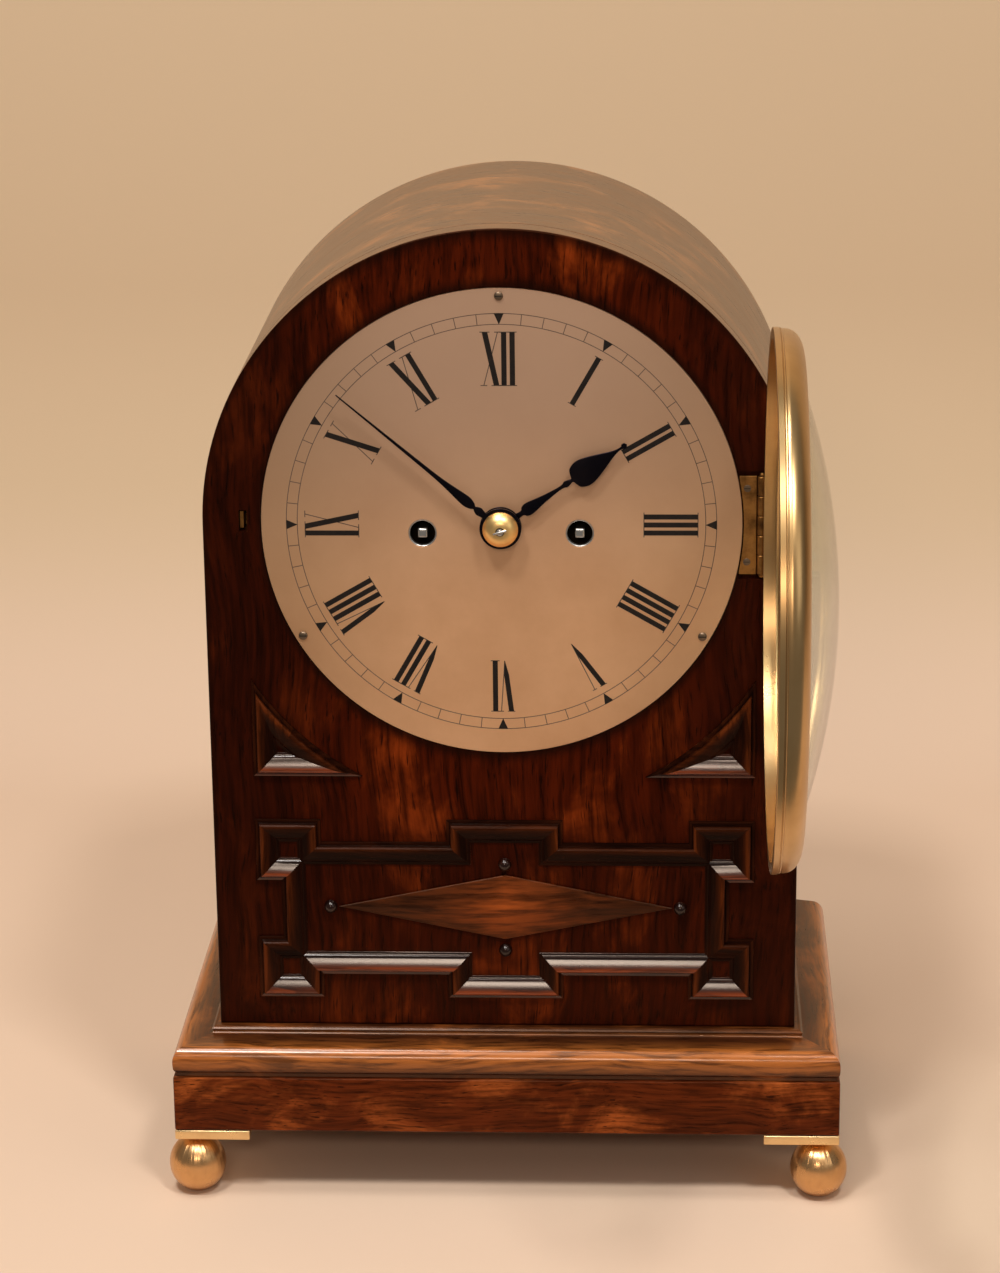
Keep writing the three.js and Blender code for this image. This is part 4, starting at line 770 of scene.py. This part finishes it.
def glass(name, tint):
    """Old glass, a little smeared, which lets lamps' light through to what is behind it."""
    made, tree, shader = blank(name)
    place = node(tree, "ShaderNodeTexCoord", {}).outputs["Object"]
    smear = node(tree, "ShaderNodeGroup", {"Place": place}, node_tree=smears).outputs[0]
    fill(shader, {"Base Color": tint, "Transmission Weight": 1.0, "IOR": 1.46, "Roughness": smear})
    clear = node(tree, "ShaderNodeBsdfTransparent", {0: (0.93, 0.96, 0.94)}).outputs[0]
    rays = node(tree, "ShaderNodeLightPath", {}).outputs["Is Shadow Ray"]
    blend = node(tree, "ShaderNodeMixShader", {0: rays, 1: shader.outputs[0], 2: clear})
    fill(tree.nodes["Material Output"], {0: blend.outputs[0]})
    return made


bezel_brass = metal("bezel_brass", (0.60, 0.395, 0.185), (0.42, 0.25, 0.095), 0.28, 0.7, 16.0, (0.95, 1.1))
hinge_brass = metal("hinge_brass", (0.42, 0.20, 0.055), (0.06, 0.025, 0.009), 0.40, 1.0,
                    brush=(4, 60, 0.05, 0.0001))
bezel_glass = glass("bezel_glass", (0.93, 0.98, 0.94))
rim = [(102.3, -0.5), (102.3, -8.9), (95.6, -10.7), (95.6, -12.0), (95.9, -12.25), (96.6, -12.3),
       (98.2, -12.3), (99.6, -12.05), (101.2, -11.55), (102.8, -10.75), (104.2, -9.7), (105.2, -8.5),
       (105.85, -7.1), (106.15, -5.6), (106.2, -4.6), (106.05, -4.25), (106.05, -4.0), (106.35, -3.85),
       (106.55, -3.6), (106.5, -3.3), (106.3, -3.15), (106.35, -3.0), (106.7, -2.8), (106.7, -0.75),
       (106.5, -0.5), (102.3, -0.5)]
a, b = on_bezel(Vector((103.3, 1, -21.65)) * MM), on_bezel(Vector((109.6, -2.3, 21.65)) * MM)
leaf_seat = slab(Vector(map(min, a, b)), Vector(map(max, a, b)), CUT_EASE, 1)
finish_piece("bezel", cut(turn("rim", rim, 240, on_bezel), leaf_seat), [bezel_brass],
             "bezel_ring", body="bezel", sharp=30)
pane = dome(95.1, 18, -8.8, 24) + [(98.2, -8.8), (98.2, -7.2)] + dome(93.5, 17.4, -7.2, 24)[::-1]
turned("bezel_crystal", pane, 160, on_bezel, bezel_glass, "bezel_glass", body="bezel")
sight = [(92.2, -5.5), (92.25, -5.9), (92.7, -6.4), (93.6, -6.85), (94.6, -6.9), (102.0, -6.9), (102.0, -5.5),
         (92.2, -5.5)]
turned("bezel_sight_ring", sight, 180, on_bezel, bezel_brass, "sight_ring", body="bezel")

REACH, GAP = 21.35, 0.1      # mm: half the hinge's height, and the gap at each end of a knuckle
PITCH = 2 * REACH / 5
for i in range(5):
    z0, z1 = -REACH + i * PITCH + GAP, -REACH + (i + 1) * PITCH - GAP
    knuckle = [(0.75, z0), (1.6, z0), (1.9, z0 + 0.3), (1.9, z1 - 0.3), (1.6, z1), (0.75, z1), (0.75, z0)]
    turned(f"hinge_knuckle_{i}", knuckle, 28, on_pin, hinge_brass,
           body=("case", "bezel")[i % 2])
leaf = sheet("leaf", [[(100.2, -REACH), (107.4, -REACH), (107.4, REACH), (100.2, REACH)]], 0, 1.2, 0.15)
leaf = cut(leaf, sheet("dial_clear", [ring(0, 0, 102.2, 128)], -1, 3, 0.01))
finish_piece("hinge_leaf_case", leaf, [hinge_brass], "bezel_hinge_fixed_leaf", sharp=8)
pin_half = [(0, 22.95), (0.7, 22.7), (1.05, 22.2), (1.05, 21.65), (0.7, 21.65)]
turned("hinge_pin", [(r, -y) for r, y in pin_half] + pin_half[::-1], 20, on_pin, hinge_brass,
       "bezel_hinge_pin")
low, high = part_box("bezel_hinge_leaf")
moving = slab(Vector((HINGE.x + 0.0006, low.y, low.z)), Vector((high.x, HINGE.y - 0.0019, high.z)),
              0.00015, 2)
finish_piece("hinge_leaf_bezel", moving, [hinge_brass], "bezel_hinge_leaf", body="bezel")
head = [(0, -0.2), (0.9, -0.18), (1.5, -0.08), (1.6, 0.05), (1.6, 0.4), (0, 0.4)]
for name, z in (("upper", 16), ("lower", -16)):
    spot = CENTRE + Vector((103.5, 0, z)) * MM
    turned(f"hinge_screw_{name}", head, 24, lambda v: spot + v, screw_steel)
    finish_piece(f"hinge_screw_slot_{name}", brick((-1.3, -0.22, -0.12), (1.3, -0.1, 0.12), spot), [wax])


# ---- hands --------------------------------------------------------------------------------------
# Blued steel, cut from sheet and eased: a pear-shaped hour hand and a long tapering minute hand. A
# brass collet and a steel taper pin through the centre arbor's end hold them.
def smooth(stations, per=5):
    """A curve through all the stations, with per points between two of them."""
    out = []
    for i in range(len(stations) - 1):
        p0, p1 = stations[max(i - 1, 0)], stations[i]
        p2, p3 = stations[i + 1], stations[min(i + 2, len(stations) - 1)]
        for k in range(per):
            t = k / per
            out.append(tuple(0.5 * (2 * p1[n] + (p2[n] - p0[n]) * t
                                    + (2 * p0[n] - 5 * p1[n] + 4 * p2[n] - p3[n]) * t * t
                                    + (3 * p1[n] - p0[n] - 3 * p2[n] + p3[n]) * t ** 3) for n in range(2)))
    return out + [stations[-1]]


blued_steel = metal("blued_steel", (0.014, 0.012, 0.018), (0.030, 0.020, 0.018), 0.30, 0.4)
collet_brass = metal("collet_brass", (1.0, 0.67, 0.27), (0.80, 0.46, 0.15), 0.38, 0.5)
# each station is the distance from the centre and half the width there, in mm
hour_shape = [(8, 1.3), (11, 1.1), (12, 2.1), (13.6, 2.7), (16, 2.6), (21, 1.7), (28, 0.85), (31.6, 0.8),
              (33.2, 1.4), (34.8, 1.1), (36.4, 0.8), (37.1, 2.6), (38, 4.4), (40, 5.5), (42.2, 5.9),
              (45, 5.5), (49, 4.2), (53, 2.7), (56.4, 1.4), (59.4, 0.6), (61.6, 0.6), (62, 1.15),
              (63.3, 1.15), (63.8, 0.4)]
minute_shape = [(8, 1.1), (10.2, 1.5), (11.8, 1.8), (13.4, 1.2), (14.2, 0.7), (15.4, 1.5), (18.2, 2.25),
                (22, 2.05), (27.5, 1.45), (36, 0.9), (54, 0.62), (71, 0.42), (89, 0.22)]
HUB = 8.8      # mm: radius of the round middle
for name, shape, bearing, front, hole, hand, body in (
        ("hour_pointer", hour_shape, 55.9, -3.7, 4.9, "hour_hand", "hour_pipe"),
        ("minute_pointer", minute_shape, 310.3, -6.5, 2.4, "minute_hand", "minute_arbor")):
    blade = smooth(shape)
    join_at = math.degrees(math.acos(min(1, blade[0][1] / HUB)))
    right = [(half, r) for r, half in blade if r > HUB - 0.08]
    outline = right + [(0, blade[-1][0] + 0.3)] + [(-half, r) for half, r in right[::-1]]
    outline += arc(HUB, 180 - join_at, 360 + join_at, 60)
    outline = [swing(x, z, math.radians(bearing)) for x, z in outline]
    finish_piece(name, sheet(name, [outline, ring(0, 0, hole, 40)], front, 0.9, 0.16), [blued_steel],
                 hand, body=body, sharp=28)

collet = [(1.9, -6.8), (7.3, -6.8), (7.5, -7.0), (7.5, -7.7), (7.3, -8.1), (6.7, -9.0), (5.7, -10.0),
          (4.5, -10.8), (3.3, -11.2), (2.6, -11.3), (1.9, -11.35), (1.9, -6.8)]
turned("collet", collet, 96, lambda v: CENTRE + v, collet_brass, "hand_collet",
       body="minute_arbor")
arbor_end = [(0, -12.3), (1.0, -12.2), (1.5, -11.9), (1.6, -11.4), (1.6, -9), (0, -9)]
turned("arbor_end", arbor_end, 32, lambda v: CENTRE + v, bright_steel, body="minute_arbor")
PIN_AHEAD, lean = 11.9 * MM, math.radians(16)
across_arbor = Matrix(((-math.sin(lean), math.cos(lean), 0), (0, 0, 1), (math.cos(lean), math.sin(lean), 0)))
pin = [(0, -3.1), (0.35, -3.0), (0.45, -2.7), (0.6, 2.6), (0.5, 2.9), (0, 3.0)]
turned("taper_pin", pin, 20, lambda v: CENTRE + across_arbor @ v - Vector((0, PIN_AHEAD, 0)), bright_steel,
       body="minute_arbor")


# ---- back door ----------------------------------------------------------------------------------
# An arched frame of dark wood with a pane in its rebate, hung on two brass butt hinges at the case's
# edge. A turned brass knob on a spindle carries the tongue that holds it shut.
def arched(inside, steps=72):
    """The door's outline, drawn in by a distance in mm."""
    half, foot = 115.6 - inside, -227.6 + inside
    return [(-half, foot), (half, foot), *arc(half, 0, 180, steps)]


door_wood = wood("door_wood", ((0.008, 0.002, 0.001), (0.035, 0.008, 0.003), (0.15, 0.03, 0.008)), figure=0.8,
                 specular=0.2)
door_glass = glass("door_glass", (0.95, 0.98, 0.96))
frame_mesh = cut(sheet("door", [arched(0), arched(22)], 148, 13, 0.8),
                 sheet("rebate", [arched(18)], 147, 7.5, 0.01),
                 sheet("spindle", [ring(104.6, -104, 2.6, 24)], 147, 15, 0.01))
finish_piece("door_frame", frame_mesh, [door_wood], "back_door_frame", body="back_door",
             sharp=8)
finish_piece("door_pane", sheet("pane", [arched(18.3)], 152.2, 2, 0.1), [door_glass],
             "back_door_glass", body="back_door")
knob_spot = CENTRE + Vector((104.6, DEEP + 0.3, -104)) * MM
knob = [(0, -0.15), (4.4, -0.15), (4.6, 0.05), (4.4, 0.5), (3.4, 1.4), (3.1, 2.6), (3.6, 3.8), (5.3, 4.9),
        (6.3, 5.9), (6.5, 6.8), (6.3, 7.8), (5.4, 9.0), (4.0, 9.8), (2.0, 10.2), (0, 10.3)]
turned("door_knob", knob, 48, lambda v: knob_spot + v, plate_brass, "back_door_catch",
       body="door_catch")
low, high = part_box("back_door_catch")
TONGUE = 0.0025      # metres: half its width
tongue = slab(Vector((knob_spot.x - TONGUE, low.y, knob_spot.z - TONGUE)),
              Vector((knob_spot.x + TONGUE, low.y + 0.0026, high.z)), 0.0004)
finish_piece("door_tongue", tongue, [hinge_brass], body="door_catch")
spindle = [(0, -15.8), (2.2, -15.8), (2.2, 0), (0, 0)]
turned("door_spindle", spindle, 24, lambda v: knob_spot + v, hinge_brass, body="door_catch")
knuckles = [(0, -19), (2.0, -19), (2.4, -18.6), (2.4, 18.6), (2.0, 19), (0, 19)]
for name in ("upper", "lower"):
    low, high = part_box(f"door_hinge_{name}")
    spot = Vector((high.x - 0.0024, high.y - 0.0024, (low.z + high.z) / 2))
    turned(f"door_knuckles_{name}", knuckles, 28, lambda v: spot + Vector((v.x, -v.z, v.y)), hinge_brass,
           f"door_hinge_{name}")
    plate = slab(low, Vector((spot.x - 0.001, low.y + 0.0012, high.z)), 0.0002)
    finish_piece(f"door_leaf_{name}", plate, [hinge_brass])


# ---- movement -----------------------------------------------------------------------------------
# Brass plates and wheels, steel arbors, pallets and hammer, and a bell of bell metal, on a pale wood
# seatboard. The CAD solids are right as they are and take these finishes.
works_brass = metal("works_brass", (0.76, 0.56, 0.27), (0.50, 0.33, 0.14), 0.32)
# painted shade: the front plate, seen through the winding holes, is near-black for the dark inside behind the
# dial
painted_dark_front_brass = metal("painted_dark_front_brass", (0.030, 0.019, 0.010), (0.012, 0.008, 0.005), 0.60, 0.8)
bell_metal = metal("bell_metal", (0.62, 0.46, 0.25), (0.36, 0.24, 0.12), 0.36, 0.5)
pale_wood = wood("pale_wood", ((0.20, 0.11, 0.05), (0.36, 0.22, 0.12), (0.50, 0.34, 0.20)), "x")
# a fusee's cone and wheel are brass, and its winding arbor, ahead of the front plate, is steel
PLATE_Y = CENTRE.y + 0.0155
fusee_metal = works_brass.copy()
fusee_metal.name = "fusee_metal"
tree = fusee_metal.node_tree
apart = node(tree, "ShaderNodeSeparateXYZ", {0: tree.nodes["place"].outputs["Object"]}).outputs
steel_end = mix(tree, maths(tree, "LESS_THAN", apart["Y"], PLATE_Y), tree.nodes["skin"].outputs["Colour"],
                (0.42, 0.37, 0.32))
fill(tree.nodes["Principled BSDF"], {"Base Color": steel_end})

finishes = {"seatboard": pale_wood, "bell": bell_metal, "catch_plate": hinge_brass,
            "front_plate": painted_dark_front_brass}
for finish, names in ((fusee_metal, ("going_fusee", "strike_fusee", "centre_arbor")),
                      (bright_steel, ("bell_stand", "hammer", "pallets_and_crutch", "pendulum_rod"))):
    finishes.update(dict.fromkeys(names, finish))
for name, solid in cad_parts.items():
    if not solid.hide_render:
        for holder in solid.material_slots:
            holder.material = finishes.get(name, works_brass)


# ---- floor, backdrop and light ------------------------------------------------------------------
# A plain pale table curves up into a slightly darker wall. A wide lamp far ahead gives the sheen, two
# keys and a long lamp hang above the clock, and a weak one fills from the right.
paint, tree, shader = blank("floor_paint")
place = node(tree, "ShaderNodeTexCoord", {}).outputs["Object"]
height = node(tree, "ShaderNodeSeparateXYZ", {0: place}).outputs["Z"]
tone = mix(tree, ramp(tree, height, 0.0, 0.14, kind="SMOOTHSTEP"), (0.725, 0.55, 0.42), (0.62, 0.47, 0.315))
fill(shader, {"Base Color": tone, "Roughness": 0.9, "Specular IOR Level": 0.1})
# the wall lets a camera behind it see through
behind = node(tree, "ShaderNodeNewGeometry", {}).outputs["Backfacing"]
clear = node(tree, "ShaderNodeBsdfTransparent", {}).outputs[0]
seen = node(tree, "ShaderNodeMixShader", {0: behind, 1: shader.outputs[0], 2: clear})
fill(tree.nodes["Material Output"], {0: seen.outputs[0]})

EDGE_AHEAD, EDGE_BEHIND, BEND, FAR = -0.32, 0.42, 0.25, 9      # metres
bend = [math.radians(90 * i / 16) for i in range(1, 17)]
wall = [(EDGE_BEHIND + BEND * math.sin(a), BEND - BEND * math.cos(a)) for a in bend]
wall += [(EDGE_BEHIND + BEND, 2.2)]
# only the part with the wall is seen in reflections; the rest is for cameras at the sides and behind
for name, points, reflected in (("floor", [(EDGE_AHEAD, 0), (EDGE_BEHIND, 0)] + wall, True),
                                ("floor_ahead", [(-FAR, 0), (EDGE_AHEAD, 0)], False),
                                ("floor_behind", [(EDGE_BEHIND + 0.01, -0.002), (FAR, -0.002)], False)):
    mesh = shell(name, [(x, y, z) for y, z in points for x in (-FAR, FAR)],
                 [(2 * i, 2 * i + 1, 2 * i + 3, 2 * i + 2) for i in range(len(points) - 1)])
    mesh.polygons.foreach_set("use_smooth", [True] * len(mesh.polygons))
    mesh.materials.append(paint)
    floor = placed(name, mesh)
    floor.visible_glossy = floor.visible_diffuse = reflected

# soft light from all round; past the floor's far edge the camera sees a brown like the floor's there
world = bpy.data.worlds.new("world")
world.use_nodes = True
bpy.context.scene.world = world
tree = world.node_tree
around = fill(tree.nodes["Background"], {0: (0.95, 0.87, 0.78), 1: 0.20})
beyond = node(tree, "ShaderNodeBackground", {0: (0.135, 0.098, 0.066), 1: 1.0})
rays = node(tree, "ShaderNodeLightPath", {}).outputs["Is Camera Ray"]
either = node(tree, "ShaderNodeMixShader", {0: rays, 1: around.outputs[0], 2: beyond.outputs[0]})
fill(tree.nodes["World Output"], {0: either.outputs[0]})
for name, spot, aim, wide, high, power in (
        ("sheen", (-0.1, -2.25, 1.22), (0, 0, 0.2), 0.55, 0.2, 9),
        ("key_left", (-0.4, -0.95, 1.9), (0, 0, 0.2), 0.26, 0.26, 17),
        ("key_right", (0.5, -1.05, 1.85), (0, 0, 0.2), 0.26, 0.26, 14),
        ("fill", (1.3, -1.2, 1.0), (0, 0, 0.25), 0.9, 0.9, 2.5),
        ("top", (-0.33, -0.3, 1.9), (0, 0, 0.2), 0.18, 0.7, 9)):
    lamp = bpy.data.lights.new(name, "AREA")
    lamp.shape, lamp.size, lamp.size_y = "RECTANGLE", wide, high
    lamp.energy = power
    lamp.color = (1, 0.80, 0.64) if name == "sheen" else (1, 0.96, 0.91)
    holder = placed(name, lamp)
    holder.location = spot
    holder.rotation_euler = (Vector(aim) - Vector(spot)).to_track_quat("-Z", "Y").to_euler()
